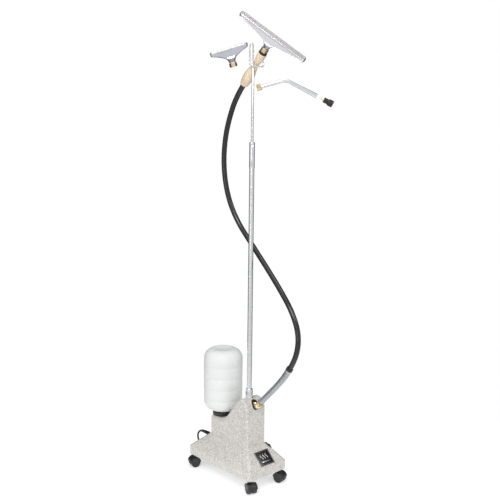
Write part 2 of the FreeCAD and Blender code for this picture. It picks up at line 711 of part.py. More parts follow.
def union_nut():
    """Hexagon nut with a round shoulder; its mouth is at z = 0 and the flange turns in its wider end."""
    nut = hexagon_prism(25, 0, 14.5).common(revolved([(0, 0), (13, 0), (14.4, 1.6), (14.4, 13), (13, 14.5),
                                                      (0, 14.5)]))
    nut = nut.fuse(ring(11.6, 5, 14.5, NUT_LENGTH))
    nut = nut.cut(cylinder(NIPPLE_RADIUS + 0.4, -1, THREAD_LENGTH))
    nut = nut.cut(cylinder(NIPPLE_RADIUS + 0.9, THREAD_LENGTH, 14.3))
    return nut.cut(cylinder(NECK_PIPE_RADIUS + 0.4, 10, 30))


def outline_xz(corners, low_y):
    """Closed outline in the XZ plane from (x, z, corner radius) points."""
    edges = []
    count = len(corners)
    starts = []
    ends = []
    middles = []
    for k, (x, z, radius) in enumerate(corners):
        here = V(x, low_y, z)
        before = V(corners[k - 1][0], low_y, corners[k - 1][1]).sub(here)
        after = V(corners[(k + 1) % count][0], low_y, corners[(k + 1) % count][1]).sub(here)
        before.normalize()
        after.normalize()
        half = before.getAngle(after) / 2
        reach = radius / math.tan(half)
        bisector = before.add(after)
        bisector.normalize()
        starts.append(here.add(before * reach))
        ends.append(here.add(after * reach))
        middles.append(here.add(bisector * (radius / math.sin(half) - radius)))
    for k in range(count):
        edges.append(Part.Arc(starts[k], middles[k], ends[k]).toShape())
        edges.append(Part.LineSegment(ends[k], starts[(k + 1) % count]).toShape())
    return Part.Wire(edges)


def steam_head(length, end_depth, depth, neck, hole_count):
    """T-shaped head and its perforated face; the face is at z = 0 and the neck points down."""
    half = length / 2
    width = HEAD_WIDTH / 2
    corners = [(-half, 0, 1.5), (half, 0, 1.5), (half, -end_depth, 7), (20, -depth, 14), (12.4, -depth - 14, 1),
               (-12.4, -depth - 14, 1), (-20, -depth, 14), (-half, -end_depth, 7)]
    body = Part.Face(outline_xz(corners, -width)).extrude(V(0, HEAD_WIDTH, 0))
    plan = rounded_rectangle(half, width, 13, -depth - 15)
    body = body.common(Part.Face(plan).extrude(V(0, 0, depth + 16)))
    neck_round = revolved([(0, -depth - 14), (12.4, -depth - 14), (width, -depth - 3), (width + 4, -depth + 2),
                           (half, -depth + 2), (half, 1), (0, 1)])
    body = body.common(neck_round)
    body = body.fuse(revolved([(0, -neck), (NECK_PIPE_RADIUS, -neck),
                               (NECK_PIPE_RADIUS, -depth - 18), (12.4, -depth - 14), (0, -depth - 14)]))
    body = body.fuse(cylinder(FLANGE_RADIUS, -neck - 3, -neck))
    pocket = Part.Face(rounded_rectangle(half - 6, width - 6, 8, -11)).extrude(V(0, 0, 12))
    ledge = Part.Face(rounded_rectangle(half - 3, width - 3, 10, -1.6)).extrude(V(0, 0, 3))
    body = body.cut(pocket).cut(ledge).cut(cylinder(5, -neck - 4, 0))
    face = Part.Face(rounded_rectangle(half - 3.2, width - 3.2, 9.8, -1.6)).extrude(V(0, 0, 1.9))
    spacing = (length - 28) / (hole_count - 1)
    for k in range(hole_count):
        face = face.cut(cylinder(2.1, -3, 2, (k - (hole_count - 1) / 2) * spacing, 0))
    return body, face


def head_on_handle(shape):
    """Puts a head's frame on the handle, its face turned about the handle's axis."""
    turn = math.radians(LONG_HEAD_TURN)
    sideways = V(math.cos(turn), -math.sin(turn) * math.cos(LEAN), -math.sin(turn) * math.sin(LEAN))
    face_at = handle_point(FLANGE_START + 3 + LONG_NECK)
    return placed(shape, face_at, sideways, GRIP_WAY)


def nut_on_handle(shape):
    return placed(shape, handle_point(NUT_START), V(1, 0, 0), GRIP_WAY)


# The spare head and the wand are held beside the mast, in the upright plane that ACROSS lies in.
ACROSS = V(0.740, -0.672, 0)
OUTWARD = V(-0.672, -0.740, 0)
UP = V(0, 0, 1)
SHORT_HEAD_AT = V(-66.0, -8.0, 1677.0)
SHORT_HEAD_WAY = UP * 0.955 + ACROSS * -0.285 + OUTWARD * 0.10
SHORT_HEAD_SIDE = ACROSS * 0.94 + UP * 0.34
WAND_AT = V(60.0, -43.4, 1537.5)
WAND_RISE = math.radians(16.0)
WAND_DROP = math.radians(-26.5)
WAND_FIRST = 101.0
WAND_SECOND = 131.0
WAND_KNEE = 45.0
WAND_BEND = 50.0
WAND_RADIUS = 6.3
WAND_END_RADIUS = 8.2
OUTLET_BORE = 6.2


def on_short_head(shape):
    return placed(shape, SHORT_HEAD_AT, SHORT_HEAD_SIDE, SHORT_HEAD_WAY)


def short_nut_place(shape):
    way = V(SHORT_HEAD_WAY)
    way.normalize()
    return placed(shape, SHORT_HEAD_AT.sub(way * (SHORT_NECK + 3 + 11)), SHORT_HEAD_SIDE, SHORT_HEAD_WAY)


def wand_way(angle):
    return ACROSS * math.cos(angle) + UP * math.sin(angle)


WAND_CORNER = WAND_AT.add(wand_way(WAND_RISE) * WAND_FIRST)
WAND_END = WAND_CORNER.add(wand_way(WAND_DROP) * WAND_SECOND)


def wand_tube():
    """Bent pipe that widens towards its open end, with the union's flange at its start."""
    second = wand_way(WAND_DROP)
    knee = WAND_CORNER.add(second * WAND_KNEE)
    edges = rounded_path([WAND_AT, WAND_CORNER, knee], WAND_BEND)
    tube = tube_along(edges, WAND_RADIUS)
    tube = tube.fuse(Part.makeCone(WAND_RADIUS, WAND_END_RADIUS, WAND_SECOND - WAND_KNEE, knee, second))
    tube = tube.fuse(Part.makeCylinder(FLANGE_RADIUS, 3, WAND_AT, wand_way(WAND_RISE)))
    tube = tube.fuse(Part.makeCylinder(NECK_PIPE_RADIUS, 14, WAND_AT, wand_way(WAND_RISE)))
    tube = tube.cut(tube_along(edges, 4.6))
    tube = tube.cut(Part.makeCone(4.6, OUTLET_BORE - 0.2, WAND_SECOND - WAND_KNEE, knee, second))
    return tube.cut(Part.makeCylinder(OUTLET_BORE, 19, WAND_END.sub(second * 18), second))


def wand_nut():
    way = wand_way(WAND_RISE)
    return placed(union_nut(), WAND_AT.sub(way * 11), OUTWARD, way)


def on_nozzle(shape):
    return placed(shape, WAND_END.add(wand_way(WAND_DROP) * 14), OUTWARD, wand_way(WAND_DROP))


def nozzle_tip():
    tip = Part.makeCone(1.4, 5.0, 15, V(0, 0, 0), UP).fuse(cylinder(5.0, 15, 24))
    return on_nozzle(tip.cut(cylinder(0.8, -1, 30)))


def nozzle_cap():
    """Stepped cap with flutes round its wide end."""
    cap = revolved([(5.1, 16), (9.4, 16), (10.0, 17), (10.0, 33), (12.8, 36), (13.0, 52), (11.8, 54), (5.5, 54),
                    (5.5, 46), (5.1, 46)])
    for k in range(6):
        angle = math.radians(60 * k)
        cap = cap.cut(cylinder(3.0, 35, 60, 15.0 * math.cos(angle), 15.0 * math.sin(angle)))
    return on_nozzle(cap)


# ---- power cord ---------------------------------------------------------------------------------
CORD_ROUTE = [
    V(CORD_X, 170.2, CORD_Z),
    V(-15, 192, 124.5),
    V(-15, 213, 119),
    V(-14, 229, 102),
    V(-12, 230, 78),
    V(-8, 221, 55),
    V(-1, 211, 33),
    V(12, 207, 14),
    V(33, 210, 5.2),
    V(60, 218, 4.4),
    V(90, 233, 4.4),
    V(116, 250, 4.4),
    V(132, 259, 4.6),
]
TAIL_ROUTE = [
    V(202, 222, 14.0),
    V(201, 201, 12.5),
    V(196, 181, 12.0),
    V(186, 162, 12.0),
]
PLUG_WAY = V(-0.466, -0.885, 0)


def cord_gland():
    body = Part.makeCylinder(5.0, 24, V(CORD_X, 133, CORD_Z), V(0, 1, 0))
    body = body.fuse(Part.makeCylinder(8.0, 6, V(CORD_X, 157, CORD_Z), V(0, 1, 0)))
    return body.fuse(Part.makeCone(6.8, 5.2, 7, V(CORD_X, 163, CORD_Z), V(0, 1, 0)))


def cord_tube(name, route):
    edges = rounded_path(route, None, name)
    tube = tube_along(edges, CORD_RADIUS)
    check_tube(name, edges, CORD_RADIUS, tube)
    return tube


def cord_coil():
    """Outer shape of the wound turns."""
    low = 0.3
    high = low + 2 * COIL_HALF_SECTION
    inner = COIL_RADIUS - COIL_HALF_SECTION
    outer = COIL_RADIUS + COIL_HALF_SECTION
    coil = revolved([(inner, low + 4), (inner + 4, low), (outer - 4, low), (outer, low + 4),
                     (outer, high - 4), (outer - 4, high), (inner + 4, high), (inner, high - 4)])
    coil.translate(V(COIL_X, COIL_Y, 0))
    return coil


def cord_tie():
    """Strap round the bundle on its near side."""
    half = COIL_HALF_SECTION
    band = box(-half - 2, half + 2, -6, 6, 0.1, 2 * half + 1.8)
    band = band.cut(box(-half - 0.7, half + 0.7, -7, 7, 0.3, 2 * half + 0.4))
    band.translate(V(COIL_X - COIL_RADIUS, COIL_Y, 0))
    return band


def on_plug(shape):
    return placed(shape, TAIL_ROUTE[-1], V(0, 0, 1), PLUG_WAY)


def plug_body():
    """Moulded three-pin plug; local z runs from the cord to the pins."""
    body = Part.makeLoft([rounded_rectangle(6, 6, 3, 0.1), rounded_rectangle(11, 13, 5, 14),
                          rounded_rectangle(11, 14, 5, 32)], True, True)
    return on_plug(body)


def plug_pins():
    pins = [box(-3.2 - 2, 3.2 - 2, 5.6, 7.1, 32, 50), box(-3.2 - 2, 3.2 - 2, -7.1, -5.6, 32, 50)]
    pins.append(cylinder(2.4, 32, 53, 6.5, 0))
    return on_plug(Part.makeCompound(pins))


# ---- casters --------------------------------------------------------------------------------------
def caster_places():
    return [(-CASTER_X, -CASTER_Y), (CASTER_X, -CASTER_Y), (-CASTER_X, CASTER_Y), (CASTER_X, CASTER_Y)]


def caster_sockets():
    sockets = []
    for x, y in caster_places():
        socket = ring(8.0, 4.05, SKIRT_BOTTOM, SKIRT_BOTTOM + 30, x, y)
        sockets.append(socket.fuse(ring(11.5, 4.05, SKIRT_BOTTOM - 1.5, SKIRT_BOTTOM, x, y)))
    return Part.makeCompound(sockets)


def at_caster(shape, number):
    """Turns a caster to its heading about its stem and moves it under its socket."""
    x, y = caster_places()[number - 1]
    shape.rotate(V(0, 0, 0), V(0, 0, 1), CASTER_HEADINGS[number])
    shape.translate(V(x, y, 0))
    return shape


def caster_fork(number):
    """Hood, centre web, stem and axle; the wheels trail along +X before turning."""
    centre = V(CASTER_TRAIL, 0, WHEEL_RADIUS)
    inside = WHEEL_GAP + WHEEL_WIDTH + 0.8
    outside = inside + 1.2
    hood = Part.makeCylinder(HOOD_RADIUS, 2 * outside, V(centre.x, -outside, centre.z), V(0, 1, 0))
    hood = hood.cut(Part.makeCylinder(HOOD_RADIUS - 1.7, 2 * inside, V(centre.x, -inside, centre.z), V(0, 1, 0)))
    hood = hood.cut(box(-60, 60, -30, 30, -30, centre.z + 4))
    web = Part.makeCylinder(HOOD_RADIUS - 1.4, 5.4, V(centre.x, -2.7, centre.z), V(0, 1, 0))
    web = web.cut(box(-60, 60, -30, 30, -30, centre.z - 8))
    lug = cylinder(9.0, centre.z + 6, SKIRT_BOTTOM - 2)
    lug = lug.cut(Part.makeCylinder(HOOD_RADIUS - 1.8, 60, V(centre.x, -30, centre.z), V(0, 1, 0)))
    fork = hood.fuse(web).fuse(lug)
    fork = fork.fuse(cylinder(4.0, centre.z + 20, SKIRT_BOTTOM + 27))
    axle = WHEEL_GAP + WHEEL_WIDTH + 0.5
    fork = fork.fuse(Part.makeCylinder(3.0, 2 * axle, V(centre.x, -axle, centre.z), V(0, 1, 0)))
    return at_caster(fork, number)


def caster_wheels(number):
    wheels = []
    for low in (-WHEEL_GAP - WHEEL_WIDTH, WHEEL_GAP):
        wheel = Part.makeCylinder(WHEEL_RADIUS, WHEEL_WIDTH, V(CASTER_TRAIL, low, WHEEL_RADIUS), V(0, 1, 0))
        rims = [edge for edge in wheel.Edges if len(edge.Vertexes) == 1]
        wheel = wheel.makeFillet(2.5, rims)
        wheel = wheel.cut(Part.makeCylinder(3.05, 60, V(CASTER_TRAIL, -30, WHEEL_RADIUS), V(0, 1, 0)))
        wheels.append(wheel)
    return at_caster(Part.makeCompound(wheels), number)


# ---- write the nodes --------------------------------------------------------------------------------
def main():
    lower, upper = hose_parts()
    long_head, long_face = steam_head(LONG_HEAD_LENGTH, 15.0, 36.0, LONG_NECK, 12)
    short_head, short_face = steam_head(SHORT_HEAD_LENGTH, 17.0, 34.0, SHORT_NECK, 6)
    nodes = {
        "housing_shell": housing_shell(),
        "base_plate": base_plate(),
        "base_screws": base_screws(),
        "name_plate": name_plate(),
        "switch_bezel": switch_bezel(),
        "switch_rocker": switch_rocker(),
        "boiler_tank": boiler_tank(),
        "boiler_lid": boiler_lid(),
        "heating_element": heating_element(),
        "thermostat": thermostat(),
        "thermal_cutout": thermal_cutout(),
        "bottle_cup": bottle_cup(),
        "feed_tube": feed_tube(),
        "steam_riser": steam_riser(),
        "outlet_elbow": outlet_elbow(),
        "outlet_bush": outlet_bush(),
        "hose_lower": lower,
        "hose_upper": upper,
        "hose_spring": hose_spring(),
        "hose_collar": hose_collar(),
        "mast_socket": mast_socket(),
        "socket_screw": socket_screw(),
        "lower_tube": lower_tube(),
        "tube_ferrule": tube_ferrule(),
        "upper_rod": upper_rod(),
        "rod_guide": rod_guide(),
        "hook_wire": hook_wire(),
        "bottle": bottle(),
        "bottle_cap": bottle_cap(),
        "cap_gasket": cap_gasket(),
        "valve_plunger": valve_plunger(),
        "valve_spring": valve_spring(),
        "handle_grip": handle_grip(),
        "handle_collar": handle_collar(),
        "handle_nipple": handle_nipple(),
        "long_nut": nut_on_handle(union_nut()),
        "long_head": head_on_handle(long_head),
        "long_face": head_on_handle(long_face),
        "short_nut": short_nut_place(union_nut()),
        "short_head": on_short_head(short_head),
        "short_face": on_short_head(short_face),
        "wand_tube": wand_tube(),
        "wand_nut": wand_nut(),
        "nozzle_tip": nozzle_tip(),
        "nozzle_cap": nozzle_cap(),
        "cord_gland": cord_gland(),
        "power_cord": Part.makeCompound([cord_tube("cord", CORD_ROUTE), cord_tube("cord_tail", TAIL_ROUTE)]),
        "cord_coil": cord_coil(),
        "cord_tie": cord_tie(),
        "plug_body": plug_body(),
        "plug_pins": plug_pins(),
        "caster_sockets": caster_sockets(),
    }
    for name, shape in nodes.items():
        save(name, shape)
    for number in CASTER_HEADINGS:
        save("caster_fork_%d" % number, caster_fork(number))
        save("caster_wheels_%d" % number, caster_wheels(number))


main()
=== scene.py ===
import math
import bpy
import bmesh
from mathutils import Matrix, Vector


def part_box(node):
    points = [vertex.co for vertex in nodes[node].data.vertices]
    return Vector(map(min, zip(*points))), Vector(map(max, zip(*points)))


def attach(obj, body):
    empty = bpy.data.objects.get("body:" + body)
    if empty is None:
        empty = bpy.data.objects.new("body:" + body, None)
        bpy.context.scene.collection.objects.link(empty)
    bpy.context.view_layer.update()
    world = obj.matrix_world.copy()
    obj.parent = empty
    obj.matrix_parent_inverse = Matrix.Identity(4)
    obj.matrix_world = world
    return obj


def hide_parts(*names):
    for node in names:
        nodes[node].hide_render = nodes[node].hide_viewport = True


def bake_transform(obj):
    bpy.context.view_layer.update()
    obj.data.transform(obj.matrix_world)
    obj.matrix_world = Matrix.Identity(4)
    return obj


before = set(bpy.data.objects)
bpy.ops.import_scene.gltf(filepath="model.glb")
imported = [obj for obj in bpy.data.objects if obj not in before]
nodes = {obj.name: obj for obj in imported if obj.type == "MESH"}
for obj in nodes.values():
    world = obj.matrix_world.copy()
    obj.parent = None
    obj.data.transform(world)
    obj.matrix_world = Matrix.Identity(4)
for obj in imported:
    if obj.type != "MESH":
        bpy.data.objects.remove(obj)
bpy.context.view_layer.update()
scene = bpy.context.scene
UP = Vector((0, 0, 1))


# ---- camera, stage and light --------
CAMERA_DISTANCE = 3.2
CAMERA_HEIGHT = 1.503
CAMERA_AZIMUTH = math.radians(-42.24)
CAMERA_PITCH = math.radians(10.34)
CAMERA_ROLL = math.radians(0.53)
CAMERA_LENS = 60.6
CAMERA_SHIFT = 0.0230
SKY_STOPS = [(0.0, 0.62), (0.22, 0.72), (0.36, 0.78), (0.46, 0.76), (0.54, 0.74), (0.70, 0.80), (1.0, 0.92)]
SKY_BLUE = 1.02
WALL_EDGE = (-0.30, 0.45)
WALL_SHARE = 0.08
FLOOR_FADE = (0.5, 1.5)
FLOOR_GLOW = 0.45
FLOOR_COLOUR = (0.80, 0.80, 0.80, 1)


def add_object(name, data):
    made = bpy.data.objects.new(name, data)
    scene.collection.objects.link(made)
    return made


def make_camera():
    data = bpy.data.cameras.new("camera")
    data.lens = CAMERA_LENS
    data.shift_x = CAMERA_SHIFT
    camera = add_object("camera", data)
    aside, ahead = math.sin(CAMERA_AZIMUTH), math.cos(CAMERA_AZIMUTH)
    camera.location = (aside * CAMERA_DISTANCE, -ahead * CAMERA_DISTANCE, CAMERA_HEIGHT)
    level = math.cos(CAMERA_PITCH)
    look = Vector((-aside * level, ahead * level, -math.sin(CAMERA_PITCH)))
    turn = look.to_track_quat("-Z", "Y").to_matrix().to_4x4() @ Matrix.Rotation(CAMERA_ROLL, 4, "Z")
    camera.rotation_euler = turn.to_euler()
    scene.camera = camera


def area_light(name, place, target, size, power):
    data = bpy.data.lights.new(name, "AREA")
    data.shape = "RECTANGLE"
    data.size, data.size_y = size
    data.energy = power
    lamp = add_object(name, data)
    lamp.location = place
    lamp.rotation_euler = (Vector(target) - Vector(place)).to_track_quat("-Z", "Y").to_euler()


def wired(tree, kind, sockets=None, **values):
    """Adds a shader node with its values, and sets each of its sockets or links it to an output."""
    made = tree.nodes.new("ShaderNode" + kind)
    for key, value in values.items():
        setattr(made, key, value)
    for socket, value in (sockets or {}).items():
        if hasattr(value, "links"):
            tree.links.new(value, made.inputs[socket])
        else:
            made.inputs[socket].default_value = value
    return made


def set_stops(ramp, stops):
    while len(ramp.elements) < len(stops):
        ramp.elements.new(0.5)
    for element, (at, colour) in zip(ramp.elements, stops):
        element.position = at
        element.color = colour


def make_world():
    """Studio with a bright ceiling and a dark wall behind the object, plain white where seen directly."""
    world = bpy.data.worlds.new("studio")
    scene.world = world
    world.use_nodes = True
    tree = world.node_tree
    tree.nodes.clear()
    where = wired(tree, "TexCoord").outputs["Generated"]
    height = wired(tree, "SeparateXYZ", {0: where}).outputs["Z"]
    share = wired(tree, "Math", {0: height, 1: 0.5, 2: 0.5}, operation="MULTIPLY_ADD").outputs[0]
    sky = wired(tree, "ValToRGB", {0: share})
    sky.color_ramp.interpolation = "EASE"
    set_stops(sky.color_ramp, [(at, (grey, grey, grey * SKY_BLUE, 1)) for at, grey in SKY_STOPS])
    ahead = (-math.sin(CAMERA_AZIMUTH), math.cos(CAMERA_AZIMUTH), 0)
    behind = wired(tree, "VectorMath", {0: where, 1: ahead}, operation="DOT_PRODUCT").outputs["Value"]
    wall = wired(tree, "MapRange", {"Value": behind, "From Min": WALL_EDGE[0], "From Max": WALL_EDGE[1],
                                    "To Min": 1.0, "To Max": WALL_SHARE}, interpolation_type="SMOOTHSTEP")
    lit = wired(tree, "Background", {"Color": sky.outputs[0], "Strength": wall.outputs[0]})
    seen = wired(tree, "Background", {"Color": (1, 1, 1, 1), "Strength": 1.0})
    direct = wired(tree, "LightPath").outputs["Is Camera Ray"]
    both = wired(tree, "MixShader", {0: direct, 1: lit.outputs[0], 2: seen.outputs[0]})
    wired(tree, "OutputWorld", {0: both.outputs[0]})


def floor_material():
    """Pale floor that fades into the white studio away from the object."""
    material = bpy.data.materials.new("studio_floor")
    material.use_nodes = True
    tree = material.node_tree
    tree.nodes.clear()
    where = wired(tree, "TexCoord").outputs["Object"]
    away = wired(tree, "VectorMath", {0: where}, operation="LENGTH").outputs["Value"]
    fade = wired(tree, "MapRange", {"Value": away, "From Min": FLOOR_FADE[0], "From Max": FLOOR_FADE[1]},
                 interpolation_type="SMOOTHSTEP").outputs[0]
    matt = wired(tree, "BsdfDiffuse", {"Color": FLOOR_COLOUR}).outputs[0]
    glow = wired(tree, "Emission", {"Strength": FLOOR_GLOW}).outputs[0]
    pale = wired(tree, "AddShader", {0: matt, 1: glow}).outputs[0]
    clear = wired(tree, "BsdfTransparent").outputs[0]
    mix = wired(tree, "MixShader", {0: fade, 1: pale, 2: clear}).outputs[0]
    wired(tree, "OutputMaterial", {0: mix})
    return material


def make_stage():
    mesh = bpy.data.meshes.new("floor")
    form = bmesh.new()
    bmesh.ops.create_circle(form, cap_ends=True, radius=FLOOR_FADE[1], segments=96)
    form.to_mesh(mesh)
    form.free()
    floor = add_object("floor", mesh)
    mesh.materials.append(floor_material())
    area_light("key", (-2.6, -1.7, 3.5), (0, 0, 0.9), (1.4, 1.2), 48)
    area_light("fill", (1.2, -3.0, 3.4), (0, 0, 0.9), (1.2, 1.2), 16)
    area_light("strip", (-3.1, -1.3, 1.3), (0, 0, 1.0), (0.16, 2.2), 9)
    area_light("top", (0, 0, 4.2), (0, 0, 0), (2.4, 2.4), 30)


# ---- materials --------
DUST_LIFT = 1.35


class Paint:
    """A Principled material with a few procedural patterns in the object's own coordinates."""

    def __init__(self, name, colour, roughness, metallic=0.0, **sockets):
        self.material = bpy.data.materials.new(name)
        self.material.use_nodes = True
        self.tree = self.material.node_tree
        self.shader = self.tree.nodes["Principled BSDF"]
        self.shader.inputs["Base Color"].default_value = (*colour, 1)
        self.shader.inputs["Roughness"].default_value = roughness
        self.shader.inputs["Metallic"].default_value = metallic
        for socket, value in sockets.items():
            self.shader.inputs[socket.replace("_", " ")].default_value = value
        self.place = wired(self.tree, "TexCoord").outputs["Object"]
        self.normal = None

    def aligned(self, scale, turn=(0, 0, 0)):
        """The object's coordinates turned and stretched, for grain and brushing."""
        sockets = {"Vector": self.place, "Rotation": turn, "Scale": scale}
        return wired(self.tree, "Mapping", sockets).outputs[0]

    def noise(self, scale, detail=4.0, rough=0.55, warp=0.0, place=None):
        sockets = {"Vector": place or self.place, "Scale": scale, "Detail": detail, "Roughness": rough,
                   "Distortion": warp}
        return wired(self.tree, "TexNoise", sockets).outputs["Fac"]

    def cells(self, scale):
        return wired(self.tree, "TexVoronoi", {"Vector": self.place, "Scale": scale}).outputs["Distance"]

    def ramp(self, value, stops):
        """Colours along a pattern; a stop's colour is grey if it is a single number."""
        made = wired(self.tree, "ValToRGB", {0: value})
        full = [(at, (*colour, 1) if hasattr(colour, "__len__") else (colour, colour, colour, 1))
                for at, colour in stops]
        set_stops(made.color_ramp, full)
        return made.outputs[0]

    def multiplied(self, factor, first, second):
        sockets = {0: factor, 6: (*first, 1) if isinstance(first, tuple) else first, 7: second}
        return wired(self.tree, "Mix", sockets, data_type="RGBA", blend_type="MULTIPLY").outputs[2]

    def set(self, socket, value):
        self.tree.links.new(value, self.shader.inputs[socket])

    def range(self, value, low, high):
        return wired(self.tree, "MapRange", {"Value": value, "To Min": low, "To Max": high}).outputs[0]

    def clouded(self, pattern, stops, low, high):
        """Colour and roughness that follow one pattern."""
        self.set("Base Color", self.ramp(pattern, stops))
        self.set("Roughness", self.range(pattern, low, high))

    def bump(self, height, distance, strength):
        sockets = {"Height": height, "Distance": distance, "Strength": strength}
        if self.normal:
            sockets["Normal"] = self.normal
        self.normal = wired(self.tree, "Bump", sockets).outputs[0]
        self.set("Normal", self.normal)


def cast_paint():
    """Light grey hammered enamel: grey and warm specks a few millimetres wide over an uneven casting."""
    paint = Paint("cast_enamel", (0.60, 0.58, 0.55), 0.46)
    fleck = paint.noise(210, 3, 0.72, 0.5)
    cloud = paint.noise(95, 4, 0.65, 1.0)
    broad = paint.noise(16, 3)
    base = paint.ramp(fleck, [(0.33, (0.38, 0.365, 0.34)), (0.44, (0.57, 0.555, 0.53)),
                              (0.53, (0.69, 0.675, 0.64)), (0.66, (0.82, 0.81, 0.775))])
    warm = paint.ramp(cloud, [(0.36, (0.76, 0.74, 0.72)), (0.50, (1.0, 0.99, 0.97)),
                              (0.64, (0.90, 0.88, 0.89))])
    tinted = paint.multiplied(0.7, base, warm)
    shade = paint.ramp(broad, [(0.3, (0.93, 0.93, 0.92)), (0.7, (1, 1, 1))])
    paint.set("Base Color", paint.multiplied(1.0, tinted, shade))
    paint.set("Roughness", paint.range(cloud, 0.38, 0.56))
    paint.bump(paint.cells(200), 0.0006, 0.4)
    paint.bump(fleck, 0.0005, 0.3)
    return paint.material


def metal(name, colour, roughness, spread=0.06, brushed=None):
    """Metal with finger marks in its gloss, and a brushed direction if it has one."""
    paint = Paint(name, colour, roughness, 1.0)
    smear = paint.noise(28, 4, 0.6, 0.8)
    paint.set("Roughness", paint.range(smear, max(0.02, roughness - spread), roughness + spread))
    tone = paint.ramp(smear, [(0.3, 0.93), (0.7, 1.0)])
    paint.set("Base Color", paint.multiplied(1.0, colour, tone))
    if brushed:
        paint.bump(paint.noise(1.0, 3, 0.6, 0, paint.aligned(brushed)), 0.0001, 0.25)
    else:
        paint.bump(paint.noise(900, 2), 0.00003, 0.3)
    return paint.material


def brass(name="brass"):
    paint = Paint(name, (0.88, 0.72, 0.46), 0.24, 1.0)
    stain = paint.noise(90, 4, 0.6, 0.7)
    stops = [(0.32, (0.66, 0.47, 0.25)), (0.48, (0.86, 0.68, 0.42)), (0.7, (0.94, 0.80, 0.56))]
    paint.clouded(stain, stops, 0.34, 0.18)
    paint.bump(paint.noise(700, 2), 0.00008, 0.35)
    return paint.material


def moulded(name, colour, roughness, grain=1400, depth=0.00006):
    """Moulded plastic or rubber with a fine grain and slight dust in its gloss."""
    paint = Paint(name, colour, roughness)
    dust = paint.noise(60, 5, 0.6)
    lighter = [min(1, c * DUST_LIFT + 0.004) for c in colour]
    paint.clouded(dust, [(0.35, colour), (0.72, lighter)], roughness - 0.06, roughness + 0.08)
    paint.bump(paint.noise(grain, 2, 0.6), depth, 0.4)
    return paint.material


def hose_rubber():
    paint = Paint("hose_rubber", (0.010, 0.011, 0.010), 0.12, Specular_IOR_Level=0.6)
    haze = paint.noise(45, 5, 0.6, 0.4)
    paint.clouded(haze, [(0.3, (0.006, 0.007, 0.006)), (0.75, (0.015, 0.016, 0.014))], 0.09, 0.17)
    paint.bump(paint.noise(160, 3), 0.00018, 0.3)
    return paint.material


def pale_wood():
    """Lacquered pale wood with its grain along the handle."""
    paint = Paint("pale_wood", (0.82, 0.66, 0.46), 0.32, Coat_Weight=0.35, Coat_Roughness=0.12)
    lean = (-GRIP_LEAN, 0, 0)
    fibre = paint.noise(1.0, 5, 0.65, 0.3, paint.aligned((420, 420, 16), lean))
    figure = paint.noise(1.0, 3, 0.5, 1.4, paint.aligned((70, 70, 7), lean))
    sockets = {"Vector": paint.aligned((52, 60, 6), lean), "Scale": 1.0, "Distortion": 5.0, "Detail": 2.0}
    rings = wired(paint.tree, "TexWave", sockets, wave_type="RINGS", rings_direction="Z")
    ground = paint.ramp(rings.outputs["Fac"], [(0.0, (0.95, 0.84, 0.66)), (0.6, (0.90, 0.77, 0.57)),
                                               (1.0, (0.80, 0.63, 0.42))])
    fine = paint.ramp(fibre, [(0.35, (0.90, 0.87, 0.82)), (0.55, (1, 1, 1))])
    wide = paint.ramp(figure, [(0.35, (0.92, 0.88, 0.82)), (0.65, (1.04, 1.02, 1.0))])
    paint.set("Base Color", paint.multiplied(1.0, paint.multiplied(0.8, ground, fine), wide))
    paint.bump(fibre, 0.0001, 0.3)
    return paint.material


def bottle_plastic():
    paint = Paint("bottle_plastic", (0.95, 0.97, 0.96), 0.34, Transmission_Weight=0.24, IOR=1.35,
                  Specular_IOR_Level=0.45)
    cloud = paint.noise(9, 3)
    paint.clouded(cloud, [(0.3, (0.95, 0.975, 0.95)), (0.7, (0.985, 0.99, 0.975))], 0.30, 0.44)
    paint.bump(paint.noise(220, 3), 0.00025, 0.25)
    return paint.material


def water():
    paint = Paint("water", (0.80, 0.93, 0.87), 0.05, Transmission_Weight=0.8, IOR=1.33)
    paint.bump(paint.noise(60, 2), 0.0002, 0.2)
    return paint.material


# ---- mesh helpers --------
SOFT_EDGE = 0.0004


def frame_at(origin, x_way, z_way):
    """The matrix of a frame with the given origin, X direction (made square) and Z direction."""
    z_axis = Vector(z_way).normalized()
    y_axis = z_axis.cross(Vector(x_way)).normalized()
    x_axis = y_axis.cross(z_axis)
    turned = Matrix((x_axis, y_axis, z_axis)).transposed().to_4x4()
    return Matrix.Translation(Vector(origin)) @ turned


def upright(x, y):
    return Matrix.Translation(Vector((x, y, 0)))


def placed_rings(place, rings):
    return [[place @ point for point in ring] for ring in rings]


def finish_mesh(name, form, material, sharp=34.0):
    bmesh.ops.remove_doubles(form, verts=form.verts, dist=1e-7)
    bmesh.ops.dissolve_degenerate(form, edges=form.edges, dist=1e-8)
    bmesh.ops.recalc_face_normals(form, faces=form.faces)
    mesh = bpy.data.meshes.new(name)
    form.to_mesh(mesh)
    form.free()
    mesh.shade_smooth()
    mesh.set_sharp_from_angle(angle=math.radians(sharp))
    mesh.materials.append(material)
    return add_object(name, mesh)


def add_rings(form, rings, loop=False):
    """Joins rings of the same number of points with quads, and closes the loop or else both ends."""
    made = [[form.verts.new(point) for point in ring] for ring in rings]
    pairs = list(zip(made, made[1:]))
    if loop:
        pairs.append((made[-1], made[0]))
    count = len(made[0])
    for low, high in pairs:
        for k in range(count):
            form.faces.new((low[k], low[(k + 1) % count], high[(k + 1) % count], high[k]))
    if not loop:
        form.faces.new(list(reversed(made[0])))
        form.faces.new(made[-1])


def circle(radius, z, count):
    steps = [2 * math.pi * k / count for k in range(count)]
    return [Vector((radius * math.cos(t), radius * math.sin(t), z)) for t in steps]


def add_lathe(form, place, profile, count=48, loop=False):
    """Turned solid from (radius, z) points in millimetres, in the frame of place."""
    rings = [circle(max(r, 1e-6) / 1000, z / 1000, count) for r, z in profile]
    add_rings(form, placed_rings(place, rings), loop)


